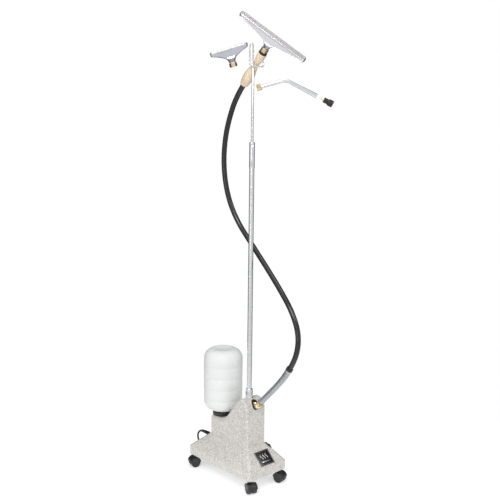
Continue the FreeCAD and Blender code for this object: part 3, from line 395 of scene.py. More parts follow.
def lathe(name, place, profile, material, count=48, loop=False, sharp=34.0):
    form = bmesh.new()
    add_lathe(form, place, profile, count, loop)
    return finish_mesh(name, form, material, sharp)


def frames_along(path):
    """Parallel frames along a line of points: (centre, side, up) for each point."""
    ways = []
    for k in range(len(path)):
        before, after = path[max(k - 1, 0)], path[min(k + 1, len(path) - 1)]
        ways.append((after - before).normalized())
    side = ways[0].orthogonal().normalized()
    frames = []
    for centre, way in zip(path, ways):
        side = (side - way * side.dot(way)).normalized()
        frames.append((centre, side, way.cross(side)))
    return frames


def tube_rings(path, radii, count):
    rings = []
    for k, (centre, side, other) in enumerate(frames_along(path)):
        radius = radii[k] if hasattr(radii, "__len__") else radii
        rings.append([centre + side * (radius * math.cos(2 * math.pi * j / count))
                      + other * (radius * math.sin(2 * math.pi * j / count)) for j in range(count)])
    return rings


def tube(name, path, radii, material, count=24, sharp=40.0):
    form = bmesh.new()
    add_rings(form, tube_rings(path, radii, count))
    return finish_mesh(name, form, material, sharp)


def rounded(half_x, half_y, corner, z, steps=6, along=1, across=1):
    """Rounded rectangle as a ring of points, with extra points along its straight sides."""
    corner = min(corner, half_x, half_y)
    ring = []
    for k, (sx, sy) in enumerate([(1, -1), (1, 1), (-1, 1), (-1, -1)]):
        cx, cy = sx * (half_x - corner), sy * (half_y - corner)
        start = math.radians(-90 + 90 * k)
        turns = [start + math.pi / 2 * j / steps for j in range(steps + 1)]
        arc = [Vector((cx + corner * math.cos(t), cy + corner * math.sin(t), z)) for t in turns]
        ring += arc
        nx, ny = [(1, 1), (-1, 1), (-1, -1), (1, -1)][k]
        ahead = Vector((nx * (half_x - corner), ny * (half_y - corner), z))
        ahead += Vector([(corner, 0, 0), (0, corner, 0), (-corner, 0, 0), (0, -corner, 0)][k])
        extra = across if k % 2 == 0 else along
        ring += [arc[-1].lerp(ahead, j / (extra + 1)) for j in range(1, extra + 1)]
    return ring


def inset_rings(place, half_x, half_y, corner, levels, steps):
    """Rounded rectangles, one for each (z, inset), in the frame of place."""
    rings = [rounded(half_x - inset, half_y - inset, corner, z, steps) for z, inset in levels]
    return placed_rings(place, rings)


def smooth_line(name, route, resolution):
    """Points along the smooth curve whose control points are the route."""
    data = bpy.data.curves.new(name, "CURVE")
    data.dimensions = "3D"
    data.resolution_u = resolution
    spline = data.splines.new("NURBS")
    spline.points.add(len(route) - 1)
    for point, place in zip(spline.points, route):
        point.co = (*place, 1)
    spline.order_u = 3
    spline.use_endpoint_u = True
    line = add_object(name, data)
    mesh = bpy.data.meshes.new_from_object(line)
    path = [vertex.co.copy() for vertex in mesh.vertices]
    bpy.data.meshes.remove(mesh)
    bpy.data.objects.remove(line)
    return path


def smooth(share):
    """Eases a share between 0 and 1."""
    return share * share * (3 - 2 * share)


def length_of(path):
    return sum((b - a).length for a, b in zip(path, path[1:]))


def part_of(path, start, end):
    """The stretch of a line between two distances from its start."""
    walked, stretch = 0.0, []
    for a, b in zip(path, path[1:]):
        step = (b - a).length
        if step > 0 and walked + step > start and walked < end:
            if not stretch:
                stretch.append(a.lerp(b, max(0.0, (start - walked) / step)))
            stretch.append(a.lerp(b, min(1.0, (end - walked) / step)))
        walked += step
    return stretch


def soften(name):
    """Rounds a CAD node's edges with modifiers; its own mesh stays as it is."""
    weld = nodes[name].modifiers.new("weld", "WELD")
    weld.merge_threshold = 1e-6
    bevel = nodes[name].modifiers.new("bevel", "BEVEL")
    bevel.width = SOFT_EDGE
    bevel.segments = 2
    bevel.limit_method = "ANGLE"
    bevel.angle_limit = math.radians(32)
    bevel.harden_normals = False


def settle(piece, body, slot, *stands_for):
    """Puts a finished piece on its body and hides the CAD nodes it stands for; its slot argument is not
    used.
    """
    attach(piece, body)
    if stands_for:
        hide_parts(*stands_for)
    return piece


def coat(name, material):
    """Gives a CAD node its material."""
    data = nodes[name].data
    data.materials.clear()
    data.materials.append(material)


# ---- places that the pieces share --------
MAST_Y = -0.070
GRIP_LEAN = math.radians(42)
GRIP_WAY = Vector((0, -math.sin(GRIP_LEAN), math.cos(GRIP_LEAN)))
GRIP_WAIST = Vector((0.0158, -0.0674, 1.6180))
GRIP_BASE = -0.097


def handle_point(along):
    return GRIP_WAIST + GRIP_WAY * along


# ---- hose --------
HOSE_DIAMETER = 0.020
HOSE_JOIN = Vector((0.0415, -0.066, 0.908))
HOSE_LOWER_ROUTE = [
    (0, -0.1354, 0.3384),
    (0, -0.203, 0.406),
    (0, -0.269, 0.480),
    (0.001, -0.321, 0.566),
    (0.004, -0.328, 0.650),
    (0.009, -0.286, 0.728),
    (0.020, -0.205, 0.802),
    (0.033, -0.120, 0.868),
]
HOSE_UPPER_ROUTE = [
    (0.050, -0.012, 0.948),
    (0.048, 0.054, 1.012),
    (0.041, 0.098, 1.088),
    (0.034, 0.119, 1.170),
    (0.027, 0.121, 1.254),
    (0.021, 0.107, 1.338),
    (0.017, 0.080, 1.416),
]
SLEEVE_LENGTH = 0.2245
SLEEVE_START = 0.006
SLEEVE_WIRE = 0.0016
SLEEVE_PITCH = SLEEVE_WIRE * 1.06
POINTS_PER_COIL = 18


def hose():
    """Both halves of the hose, with the spring sleeve and collar near the outlet."""
    route = HOSE_LOWER_ROUTE + [HOSE_JOIN] + HOSE_UPPER_ROUTE
    route += [handle_point(GRIP_BASE - 0.062), handle_point(GRIP_BASE)]
    line = smooth_line("hose_line", route, 20)
    join = min(range(len(line)), key=lambda k: (line[k] - HOSE_JOIN).length)
    rings = tube_rings(line, HOSE_DIAMETER / 2, 32)
    rubber = hose_rubber()
    made = []
    for name, first, last in (("steam_hose_lower", 0, join), ("steam_hose_upper", join, len(line) - 1)):
        form = bmesh.new()
        add_rings(form, rings[first:last + 1])
        made.append(finish_mesh(name, form, rubber))
    lower, upper = made
    sleeve = hose_sleeve(line)
    collar = hose_collar(line)
    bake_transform(lower)
    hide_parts("hose_lower")
    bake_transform(upper)
    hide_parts("hose_upper")


def hose_sleeve(line):
    """Close-wound spring of round wire over the hose, with a turned band at each end."""
    stretch = part_of(line, SLEEVE_START, SLEEVE_LENGTH)
    coil_radius = HOSE_DIAMETER / 2 + SLEEVE_WIRE / 2 + 0.0002
    total = length_of(stretch)
    turns = int(total / SLEEVE_PITCH)
    helix = []
    for k, (centre, side, other) in enumerate(frames_along(resampled(stretch, turns * POINTS_PER_COIL))):
        angle = 2 * math.pi * k / POINTS_PER_COIL
        around = side * (coil_radius * math.cos(angle)) + other * (coil_radius * math.sin(angle))
        helix.append(centre + around)
    form = bmesh.new()
    add_rings(form, tube_rings(helix, SLEEVE_WIRE / 2, 6))
    for start, end in ((0.0, 0.009), (total - 0.007, total)):
        band = part_of(stretch, start, end)
        place = frame_at(band[0], band[-1] - band[0] + Vector((1, 0, 0)), band[-1] - band[0])
        long = length_of(band) * 1000
        add_lathe(form, place, [(10.3, 0), (12.2, 0), (12.6, 0.6), (12.6, long - 0.6), (12.2, long),
                                (10.3, long)], 40, True)
    sleeve = finish_mesh("hose_spring_sleeve", form, metal("sleeve_chrome", (0.52, 0.53, 0.55), 0.16))
    return settle(sleeve, "root", "chrome", "hose_spring")


def hose_collar(line):
    start = part_of(line, 0, SLEEVE_LENGTH + 0.0004)[-1]
    ahead = part_of(line, 0, SLEEVE_LENGTH + 0.012)[-1]
    place = frame_at(start, (1, 0, 0), ahead - start)
    profile = [(10.2, 0), (12.6, 0), (13.2, 0.8), (13.2, 2.6), (12.2, 3.4), (12.2, 8.2), (12.9, 8.8),
               (12.9, 10.4), (12.2, 11.2), (10.2, 11.2)]
    rubber = moulded("collar_rubber", (0.016, 0.016, 0.016), 0.4)
    collar = lathe("hose_collar_ring", place, profile, rubber, 48, True)
    return settle(collar, "root", "hose_rubber", "hose_collar")


def resampled(path, count):
    """The same line with evenly spaced points."""
    total = length_of(path)
    places, walked, k = [], 0.0, 0
    for j in range(count + 1):
        target = total * j / count
        while k < len(path) - 2 and walked + (path[k + 1] - path[k]).length < target:
            walked += (path[k + 1] - path[k]).length
            k += 1
        step = (path[k + 1] - path[k]).length
        places.append(path[k].lerp(path[k + 1], min(1.0, (target - walked) / step if step else 0)))
    return places


# ---- power cord --------
CORD_DIAMETER = 0.008
CORD_ROUTE = [
    (-0.015, 0.1702, 0.124),
    (-0.015, 0.192, 0.1245),
    (-0.015, 0.214, 0.119),
    (-0.014, 0.229, 0.102),
    (-0.012, 0.231, 0.078),
    (-0.008, 0.221, 0.055),
    (-0.001, 0.211, 0.033),
    (0.012, 0.207, 0.014),
    (0.033, 0.210, 0.0052),
    (0.060, 0.218, 0.0044),
    (0.090, 0.233, 0.0044),
    (0.116, 0.250, 0.0044),
]
TAIL_ROUTE = [
    (0.202, 0.222, 0.014),
    (0.201, 0.201, 0.0125),
    (0.196, 0.181, 0.012),
    (0.186, 0.162, 0.012),
]
COIL_CENTRE = Vector((0.158, 0.222, 0.0123))
COIL_RADIUS = 0.044
COIL_PLACES = [(0, -1), (1, -1), (-1, -1), (-0.5, 0.0), (0.5, 0.0), (-1, 1), (1, 1)]
POINTS_PER_TURN = 14
COIL_TURNS = 6.30
RELIEF_LENGTH = 0.034
RELIEF_STEPS = 40
BLADE_OFFSET = 0.00635


def coil_route():
    """Turns of the cord, each in its own place in the bundle's section, with easy changes between."""
    route = []
    start = math.radians(125)
    spread = CORD_DIAMETER * 1.02
    for turn, (out, up) in enumerate(COIL_PLACES):
        following = COIL_PLACES[min(turn + 1, len(COIL_PLACES) - 1)]
        for k in range(POINTS_PER_TURN):
            share = k / POINTS_PER_TURN
            if turn + share > COIL_TURNS:
                break
            ease = smooth(max(0.0, (share - 0.6) / 0.4))
            side = out + (following[0] - out) * ease
            level = up + (following[1] - up) * ease
            angle = start - 2 * math.pi * (turn + share)
            radius = COIL_RADIUS + side * spread
            route.append(COIL_CENTRE + Vector((radius * math.cos(angle), radius * math.sin(angle),
                                               level * spread * 0.9)))
    return route


def power_cord():
    """The lead from its gland to the floor, its coil, strap and plug."""
    black = moulded("cord_pvc", (0.013, 0.013, 0.014), 0.36, 900, 0.00005)
    route = CORD_ROUTE + coil_route() + TAIL_ROUTE
    line = smooth_line("cord_line", route, 8)
    cord = tube("mains_cord", line, CORD_DIAMETER / 2, black, 14)
    relief = strain_relief(line, black)
    settle(cord, "root", "cord_black", "power_cord", "cord_coil")
    plug = mains_plug(line, black)
    blades = plug_blades(line)
    tie = cord_tie(black)


def strain_relief(line, material):
    """Tapered ribbed sleeve where the cord leaves the housing."""
    places = resampled(part_of(line, 0.0002, RELIEF_LENGTH), RELIEF_STEPS)
    radii = []
    for k in range(len(places)):
        share = k / RELIEF_STEPS
        rib = 0.0005 if k % 5 < 3 else -0.0002
        radii.append(0.0068 - 0.0021 * share + rib * (1 - share * 0.5))
    sleeve = tube("cord_strain_relief", places, radii, material, 24, 60)
    return settle(sleeve, "root", "cord_black")


def plug_frame(line):
    way = (line[-1] - line[-2]).normalized()
    way.z = 0
    return frame_at(line[-1], (0, 0, 1), way)


def mains_plug(line, material):
    """Moulded three-pin plug: necked tail, finger scallops and a flat face."""
    place = plug_frame(line)
    stations = [(-9, 5.0, 5.0, 5.0), (-4, 5.4, 5.4, 5.4), (0.5, 6.6, 6.6, 5.5), (5, 8.6, 9.4, 6),
                (11, 10.6, 12.6, 6), (16, 10.9, 13.8, 5.5), (20, 10.3, 13.0, 5), (25, 10.3, 13.0, 5),
                (28, 11.0, 14.0, 5), (31, 11.0, 14.0, 4.5), (32, 10.2, 13.2, 4)]
    form = bmesh.new()
    add_rings(form, placed_rings(place, [rounded(x / 1000, y / 1000, c / 1000, z / 1000, 6)
                                         for z, x, y, c in stations]))
    plug = finish_mesh("mains_plug", form, material, 30)
    return settle(plug, "root", "black_plastic", "plug_body")


def plug_blades(line):
    place = plug_frame(line)
    form = bmesh.new()
    for side in (-1, 1):
        rings = []
        for z, shrink in ((31.9, 0), (48.6, 0), (49.8, 0.5), (50.2, 1.4)):
            wide, thick = 3.2 - shrink * 0.5, 0.75 - shrink * 0.2
            rings.append(rounded(wide / 1000, thick / 1000, 0.0003, z / 1000, 2))
        add_rings(form, placed_rings(place @ upright(-0.002, side * BLADE_OFFSET), rings))
    earth = place @ upright(0.0065, 0)
    add_lathe(form, earth, [(0, 31.9), (2.4, 31.9), (2.4, 51), (1.9, 52.4), (0.8, 53), (0, 53)], 24)
    blades = finish_mesh("plug_blades", form, metal("blade_metal", (0.78, 0.74, 0.62), 0.25))
    return settle(blades, "root", "brass", "plug_pins")


def cord_tie(material):
    """Flat rubber strap round the bundle, with its buckle on the outside."""
    low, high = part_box("cord_tie")
    centre = (low + high) / 2
    half_x, half_z = (high.x - low.x) / 2, (high.z - low.z) / 2
    form = bmesh.new()
    turned = frame_at(centre, (1, 0, 0), (0, 1, 0))
    outer = [rounded(half_x - inset, half_z - inset, 0.006 - inset, y, 6)
             for y, inset in ((-0.0055, 0.0006), (-0.0050, 0.0001), (0.0050, 0.0001), (0.0055, 0.0006),
                              (0.0055, 0.0012), (-0.0055, 0.0012))]
    add_rings(form, placed_rings(turned, outer), True)
    buckle = frame_at(centre + Vector((-half_x + 0.0012, 0, 0)), (0, 1, 0), (-1, 0, 0))
    levels = ((-0.0006, 0), (0.0006, 0), (0.0012, 0.0006))
    add_rings(form, inset_rings(buckle, 0.0066, 0.0042, 0.0012, levels, 3))
    tie = finish_mesh("cord_strap", form, material)
    return settle(tie, "root", "cord_black", "cord_tie")


# ---- water bottle --------
BOTTLE_Y = 0.085
BOTTLE_RADIUS = 77.8
BOTTLE_LOW = 252.2
BOTTLE_TOP = 505.8
BOTTLE_CORNER = 38.0
BOTTLE_CROWN = 40.0
BOTTLE_WALL = 1.7
BOTTLE_RIBS = (300, 346, 392, 438)
NECK_RADIUS = 18.9
NECK_LOW = 239.1
WATER_LEVEL = 386.0


def arc_profile(centre_r, centre_z, radius, start, end, steps=10):
    """Points (r, z) of an arc between two angles in degrees."""
    angles = [math.radians(start + (end - start) * k / steps) for k in range(steps + 1)]
    return [(centre_r + radius * math.cos(a), centre_z + radius * math.sin(a)) for a in angles]


def bottle():
    """Blown bottle with four rings, its parting line and the water in it."""
    place = upright(0, BOTTLE_Y)
    wall, corner, crown = BOTTLE_WALL, BOTTLE_CORNER, BOTTLE_CROWN
    outer = [(NECK_RADIUS, NECK_LOW), (NECK_RADIUS, BOTTLE_LOW - 2)]
    outer += arc_profile(NECK_RADIUS + 2, BOTTLE_LOW - 2, 2.0, 180, 90, 4)
    outer += arc_profile(BOTTLE_RADIUS - corner, BOTTLE_LOW + corner, corner, -88, 0, 14)
    for z in BOTTLE_RIBS:
        outer += [(BOTTLE_RADIUS, z), (BOTTLE_RADIUS - 0.45, z + 1.2), (BOTTLE_RADIUS - 0.45, z + 3.0),
                  (BOTTLE_RADIUS, z + 4.2)]
    outer += arc_profile(BOTTLE_RADIUS - crown, BOTTLE_TOP - crown, crown, 0, 86, 14)
    outer += [(34, BOTTLE_TOP - 0.2), (30, BOTTLE_TOP - 1.4), (20, BOTTLE_TOP - 3.6), (0, BOTTLE_TOP - 4.4)]
    inner = [(0, BOTTLE_TOP - 4.4 - wall), (20, BOTTLE_TOP - 3.6 - wall), (32, BOTTLE_TOP - 1.6 - wall)]
    inner += arc_profile(BOTTLE_RADIUS - crown, BOTTLE_TOP - crown, crown - wall, 80, 0, 14)
    inner += arc_profile(BOTTLE_RADIUS - corner, BOTTLE_LOW + corner, corner - wall, 0, -86, 14)
    inner += [(NECK_RADIUS - wall, BOTTLE_LOW + wall), (NECK_RADIUS - wall, NECK_LOW)]
    form = bmesh.new()
    add_lathe(form, place, outer + inner, 96, True)
    shell = finish_mesh("water_bottle", form, bottle_plastic(), 40)
    settle(shell, "bottle", "bottle_plastic", "bottle")
    add_seams(place)
    inside = [(0, BOTTLE_LOW - 8), (16.9, BOTTLE_LOW - 8), (16.9, BOTTLE_LOW + wall + 0.4)]
    inside += arc_profile(BOTTLE_RADIUS - corner, BOTTLE_LOW + corner, corner - wall - 0.3, -86, 0, 14)
    rim = BOTTLE_RADIUS - wall - 0.3
    inside += [(rim, WATER_LEVEL), (rim - 0.8, WATER_LEVEL - 0.6), (0, WATER_LEVEL - 0.6)]
    fill = lathe("bottle_water", place, inside, water(), 72, False, 50)
    settle(fill, "bottle", "bottle_plastic")


def add_seams(place):
    """Mould parting line up both sides of the bottle and over its shoulders."""
    reach = BOTTLE_RADIUS / 1000 + 0.0001
    corner, crown = BOTTLE_CORNER / 1000, BOTTLE_CROWN / 1000
    low, top = BOTTLE_LOW / 1000, BOTTLE_TOP / 1000
    half = [(reach - corner + corner * math.cos(a), low + corner + corner * math.sin(a))
            for a in (math.radians(-84 + 12 * k) for k in range(8))]
    half += [(reach - crown + crown * math.cos(a), top - crown + crown * math.sin(a))
             for a in (math.radians(12 * k) for k in range(8))]
    form = bmesh.new()
    for side in (-1, 1):
        path = [place @ Vector((0, side * r, z)) for r, z in half]
        add_rings(form, tube_rings(path, 0.00045, 6))
    seam = finish_mesh("bottle_seam", form, bpy.data.materials["bottle_plastic"])
    settle(seam, "bottle", "bottle_plastic")


# ---- steam heads --------
HEAD_WIDTH = 32.0
HEAD_RIM = 6.5
RIM_ROUND = 1.5
PANEL_DEPTH = 2.6


def head_outline(half, end_depth, depth, neck):
    """(half length, z) down the end of the head, along its sloping underside and down its neck, in mm."""
    points = [(half, -3.0), (half, -5.0), (half, -6.6), (half, -7.4), (half, -8.2)]
    points += arc_profile(half - 7, -end_depth + 7.5, 7.0, 0, -74, 8)[1:]
    start = points[-1]
    foot = (30.0, -depth + 3.5)
    for k in range(1, 19):
        share = k / 19
        sag = 1.2 * math.sin(math.pi * share)
        points.append((start[0] + (foot[0] - start[0]) * share,
                       start[1] + (foot[1] - start[1]) * share + sag))
    points += [foot, (25.0, -depth + 1.0), (21.0, -depth - 2.0), (17.6, -depth - 5.5), (15.2, -depth - 9.0),
               (13.6, -depth - 12.5), (12.6, -depth - 16.0), (12.2, -depth - 17.5), (9.6, -depth - 18.6),
               (8.5, -depth - 19.2), (8.5, -neck), (9.5, -neck), (9.5, -neck - 2.9)]
    return points


def flank(z, depth):
    """Half width of the head at a height below its face."""
    return HEAD_WIDTH / 2 - 2.4 * min(1.0, max(0.0, (-z - 6) / (depth - 6)))


def head_body(name, place, length, end_depth, depth, neck, finishes):
    """Cast head: rim round the face, scooped flanks and a neck that flows out of them."""
    half, width = length / 2, HEAD_WIDTH / 2
    slices = [(half - 6, width - 6, 8, -11), (half - 6, width - 6, 8, -1.7),
              (half - 3.1, width - 3.1, 10, -1.7), (half - 3.1, width - 3.1, 10, -0.3),
              (half - 2.7, width - 2.7, 10.4, 0)]
    for grow, z in arc_profile(0, 0, RIM_ROUND, 90, 0, 5):
        inset = RIM_ROUND - grow
        slices.append((half - inset, width - inset, 13 - inset, z - RIM_ROUND))
    for reach, z in head_outline(half, end_depth, depth, neck):
        side = flank(z, depth)
        if reach < 22:
            side = min(side, reach)
        slices.append((reach, side, min(13.0, side, reach), z))
    form = bmesh.new()
    rings = []
    slope = math.atan2(depth - end_depth, half - 30)
    for reach, side, corner, z in slices:
        shaped = []
        for p in rounded(reach, side, corner, z, 8, 60, 3):
            below = -z - HEAD_RIM
            above = (z + end_depth) * math.cos(slope) + (half - abs(p.x)) * math.sin(slope) - HEAD_RIM + 2
            if abs(p.x) < 26:
                above = max(above, z + depth + 6)
            inside = min(below, above, half - 9 - abs(p.x))
            scoop = PANEL_DEPTH * smooth(min(1.0, max(0.0, inside / 2.2)))
            if reach > 22 and abs(p.y) > side - 0.6:
                p.y -= math.copysign(scoop, p.y)
            shaped.append(place @ (p / 1000))
        rings.append(shaped)
    add_rings(form, rings)
    # finishes holds the chrome, then its painted shade copy for the neck, then the painted light copy for
    # the flank panels
    cast = finish_mesh(name, form, finishes[0], 46)
    for finish in finishes[1:]:
        cast.data.materials.append(finish)
    back = place.inverted()
    for face in cast.data.polygons:
        at = back @ face.center * 1000
        recessed = abs(at.y) < flank(at.z, depth) - PANEL_DEPTH * 0.5 and abs(at.x) < half - 7
        # the neck faces take finishes[1], the painted shade copy of the chrome
        if at.z < -depth - 6:
            face.material_index = 1
        # the recessed flank panel faces take finishes[2]: painted shade on the short head, a painted
        # highlight on the long head
        elif recessed and at.z < 2 - HEAD_RIM:
            face.material_index = 2
    return cast


def heads():
    """Both heads, each with a bright rim, painted shade on its neck as a darker chrome, and painted light in
    its flank panels: painted shade on the short head, a painted highlight on the long head.
    """
    chrome = metal("head_chrome", (0.86, 0.87, 0.90), 0.07, 0.03)
    # painted shade: a darker bluish copy of the head chrome for the necks under the heads
    dark = metal("head_neck_painted_shade_chrome", (0.42, 0.44, 0.50), 0.12, 0.04)
    # painted shade: a darker bluish copy of the chrome in the short head's flank panels
    shaded = metal("short_panel_painted_shade_chrome", (0.66, 0.68, 0.74), 0.34, 0.04)
    # painted highlight: a paler copy of the chrome in the long head's flank panels
    light = metal("long_panel_painted_highlight_chrome", (0.95, 0.95, 0.97), 0.42, 0.04)
    face = face_plate()
    for name, body, length, end_depth, depth, neck in (("long", "steam_head", 288.0, 15.0, 36.0, 60.5),
                                                       ("short", "spare_head", 142.0, 17.0, 34.0, 56.5)):
        cast = head_body(name + "_head_casting", HEAD_FRAMES[name], length, end_depth, depth, neck,
                         (chrome, dark, light if name == "long" else shaded))
        settle(cast, body, "chrome", name + "_head")
        coat(name + "_face", face)
        soften(name + "_face")


def face_plate():
    paint = Paint("face_plate", (0.60, 0.56, 0.54), 0.48, 0.35)
    grain = paint.noise(500, 4, 0.6)
    paint.clouded(grain, [(0.3, (0.50, 0.46, 0.45)), (0.7, (0.68, 0.64, 0.62))], 0.42, 0.58)
    paint.bump(grain, 0.0001, 0.4)
    return paint.material


LONG_HEAD_TURN = math.radians(60)
LONG_FACE_ALONG = 0.1354
ACROSS = Vector((0.740, -0.672, 0))
OUTWARD = Vector((-0.672, -0.740, 0))
HEAD_FRAMES = {
    "long": frame_at(handle_point(LONG_FACE_ALONG),
                     (math.cos(LONG_HEAD_TURN), -math.sin(LONG_HEAD_TURN) * math.cos(GRIP_LEAN),
                      -math.sin(LONG_HEAD_TURN) * math.sin(GRIP_LEAN)), GRIP_WAY),
    "short": frame_at((-0.066, -0.008, 1.677), ACROSS * 0.94 + UP * 0.34,
                      UP * 0.955 - ACROSS * 0.285 + OUTWARD * 0.1),
}


# ---- handle --------
GRIP_PROFILE = [(14.0, -97), (17.0, -86), (19.6, -68), (19.9, -52), (17.9, -34), (13.6, -16), (10.4, -3),
                (10.5, 4), (13.0, 17), (15.8, 31), (17.2, 44), (17.0, 52)]


def curved(profile, steps=5):
    """The same outline rounded through its points."""
    points = [profile[0]] + list(profile) + [profile[-1]]
    made = []
    for a, b, c, d in zip(points, points[1:], points[2:], points[3:]):
        for k in range(steps):
            t = k / steps
            made.append(tuple(0.5 * (2 * b[i] + (c[i] - a[i]) * t
                                     + (2 * a[i] - 5 * b[i] + 4 * c[i] - d[i]) * t ** 2
                                     + (3 * b[i] - a[i] - 3 * c[i] + d[i]) * t ** 3) for i in (0, 1)))
    return made + [profile[-1]]


def handle():
    """Turned wooden handle and the black collar at its end."""
    place = frame_at(GRIP_WAIST, (1, 0, 0), GRIP_WAY)
    outline = [(10.2, -96.2), (12.6, -97), (13.6, -96.6)] + curved(GRIP_PROFILE)[2:-2]
    outline += [(16.9, 51.2), (16.2, 52), (9.6, 52), (9.6, 30), (10.2, 29)]
    grip = lathe("wooden_handle", place, outline, pale_wood(), 96, True, 50)
    settle(grip, "handle", "pale_wood", "handle_grip")
    collar = [(9.6, 52.1), (14.6, 52.1), (15.4, 52.9), (15.4, 55.0), (14.9, 55.5), (14.9, 56.0),
              (15.4, 56.5), (15.4, 60.0), (14.4, 61), (9.6, 61)]
    black = moulded("collar_black", (0.014, 0.013, 0.013), 0.38)
    ring = lathe("handle_collar_ring", place, collar, black, 72, True)
    settle(ring, "handle", "black_plastic", "handle_collar")


# ---- wand --------
WAND_AT = Vector((0.060, -0.0434, 1.5375))
WAND_RISE = math.radians(16.0)
WAND_DROP = math.radians(-26.5)
WAND_FIRST = 0.101
WAND_SECOND = 0.131
WAND_RADIUS = 0.0063
WAND_SWELL = 0.0019
WAND_WALL = 0.0015
WAND_STEPS = 90
NOZZLE_GAP = 0.014
FLUTES = 6
FLUTE_DEPTH = 0.085


def wand_way(angle):
    return ACROSS * math.cos(angle) + UP * math.sin(angle)


def wand():
    """Bent open pipe that widens after its knee."""
    first, second = wand_way(WAND_RISE), wand_way(WAND_DROP)
    knee = WAND_AT + first * WAND_FIRST
    route = [WAND_AT, WAND_AT + first * 0.030, WAND_AT + first * 0.062, knee, knee + second * 0.039,
             knee + second * 0.080, knee + second * WAND_SECOND]
    path = resampled(smooth_line("wand_line", route, 24), WAND_STEPS)
    total = length_of(path)
    radii = []
    for k in range(len(path)):
        along = total * k / WAND_STEPS
        radii.append(WAND_RADIUS + WAND_SWELL * smooth(min(1.0, max(0.0, (along - 0.125) / 0.10))))
    form = bmesh.new()
    outer = tube_rings(path, radii, 40)
    inner = list(reversed(tube_rings(path, [r - WAND_WALL for r in radii], 40)))
    add_rings(form, outer + inner, True)
    tube_piece = finish_mesh("wand_pipe", form, metal("wand_chrome", (0.85, 0.86, 0.88), 0.09, 0.04))
    settle(tube_piece, "wand", "chrome", "wand_tube")


def nozzle():
    """Brass tip with its thread, and a black cap whose wide end is fluted."""
    way = wand_way(WAND_DROP)
    end = WAND_AT + wand_way(WAND_RISE) * WAND_FIRST + way * WAND_SECOND
    place = frame_at(end + way * NOZZLE_GAP, OUTWARD, way)
    tip_profile = [(0.7, 0.2), (1.5, 0.0), (1.9, 0.6)]
    tip_profile += [(1.9 + 2.9 * k / 6 + (0.25 if k % 2 else -0.1), 1.5 + 12 * k / 6) for k in range(1, 7)]
    tip_profile += [(5.0, 15), (5.0, 24), (0.7, 24)]
    tip = lathe("nozzle_brass_tip", place, tip_profile, brass("tip_brass"), 40, True, 50)
    settle(tip, "nozzle", "brass", "nozzle_tip")
    profile = [(5.1, 16.0), (8.8, 16.0), (9.4, 16.6), (9.4, 17.6), (10.0, 18.2), (10.0, 32.0), (9.6, 32.8),
               (10.2, 33.8), (12.4, 35.6), (12.9, 37.0), (13.0, 51.6), (11.9, 53.8), (6.2, 54.0),
               (5.6, 53.4), (5.6, 46), (5.1, 45.9)]
    form = bmesh.new()
    rings = []
    for r, z in profile:
        ring = circle(r / 1000, z / 1000, 96)
        if r > 11:
            for k, point in enumerate(ring):
                flute = 1 - FLUTE_DEPTH * max(0.0, math.cos(FLUTES * 2 * math.pi * k / 96)) ** 2
                point.xy *= flute
        rings.append(ring)
    add_rings(form, placed_rings(place, rings), True)
    cap = finish_mesh("nozzle_black_cap", form, moulded("nozzle_black", (0.013, 0.013, 0.014), 0.34), 40)
    settle(cap, "nozzle", "black_plastic", "nozzle_cap")


# ---- mast --------
TUBE_RADIUS = 9.5
TUBE_ENDS = (298, 1329)
ROD_RADIUS = 4.75
FERRULE = (1240.0, 1336.0)
ROD_ENDS = (1112.0, 1604.0)
NUT_CORNER = 15.0
NUT_POINTS = 72


def mast():
    """Tube, end fitting and rod of the mast, with its foot nut and the wire crook."""
    satin = metal("mast_satin", (0.80, 0.81, 0.82), 0.26, 0.05, (260, 260, 3))
    bright = metal("rod_satin", (0.83, 0.84, 0.85), 0.20, 0.05, (300, 300, 4))
    chrome = metal("fitting_chrome", (0.84, 0.85, 0.87), 0.10, 0.04)
    place = upright(0, MAST_Y)
    r = TUBE_RADIUS
    low, high = TUBE_ENDS
    tube_piece = lathe("mast_tube", place, [(r - 1.5, low), (r, low), (r, FERRULE[0] - 2.0), (r, high),
                                            (r - 1.5, high)], satin, 64, True)
    settle(tube_piece, "root", "mast_aluminium", "lower_tube")
    low, high = FERRULE
    outline = [(r + 0.05, low), (r + 0.6, low), (r + 0.9, low + 0.5), (r + 0.9, low + 5.0),
               (r + 0.55, low + 5.6), (r + 0.55, low + 6.6), (r + 0.9, low + 7.2), (r + 0.9, high - 12.4),
               (r + 0.5, high - 11.8), (r + 0.5, high - 10.4), (r + 0.9, high - 9.8), (r + 0.9, high - 2.4)]
    outline += arc_profile(r - 1.5, high - 2.4, 2.4, 0, 90, 6)
    outline += [(ROD_RADIUS + 0.6, high), (ROD_RADIUS + 0.1, high - 0.5), (ROD_RADIUS + 0.1, high - 6),
                (r + 0.05, high - 6)]
    ferrule = lathe("mast_ferrule", place, outline, chrome, 64, True)
    settle(ferrule, "root", "mast_aluminium", "tube_ferrule")
    low, high = ROD_ENDS
    rod_profile = [(0, low), (ROD_RADIUS, low), (ROD_RADIUS, high - 1.6), (ROD_RADIUS - 0.5, high - 0.6),
                   (ROD_RADIUS - 1.2, high), (2.75, high), (2.75, high - 24), (0, high - 24)]
    rod = lathe("mast_rod_tube", place, rod_profile, bright, 48)
    settle(rod, "mast_rod", "mast_aluminium", "upper_rod")
    mast_socket(place, chrome)
    hook(chrome)


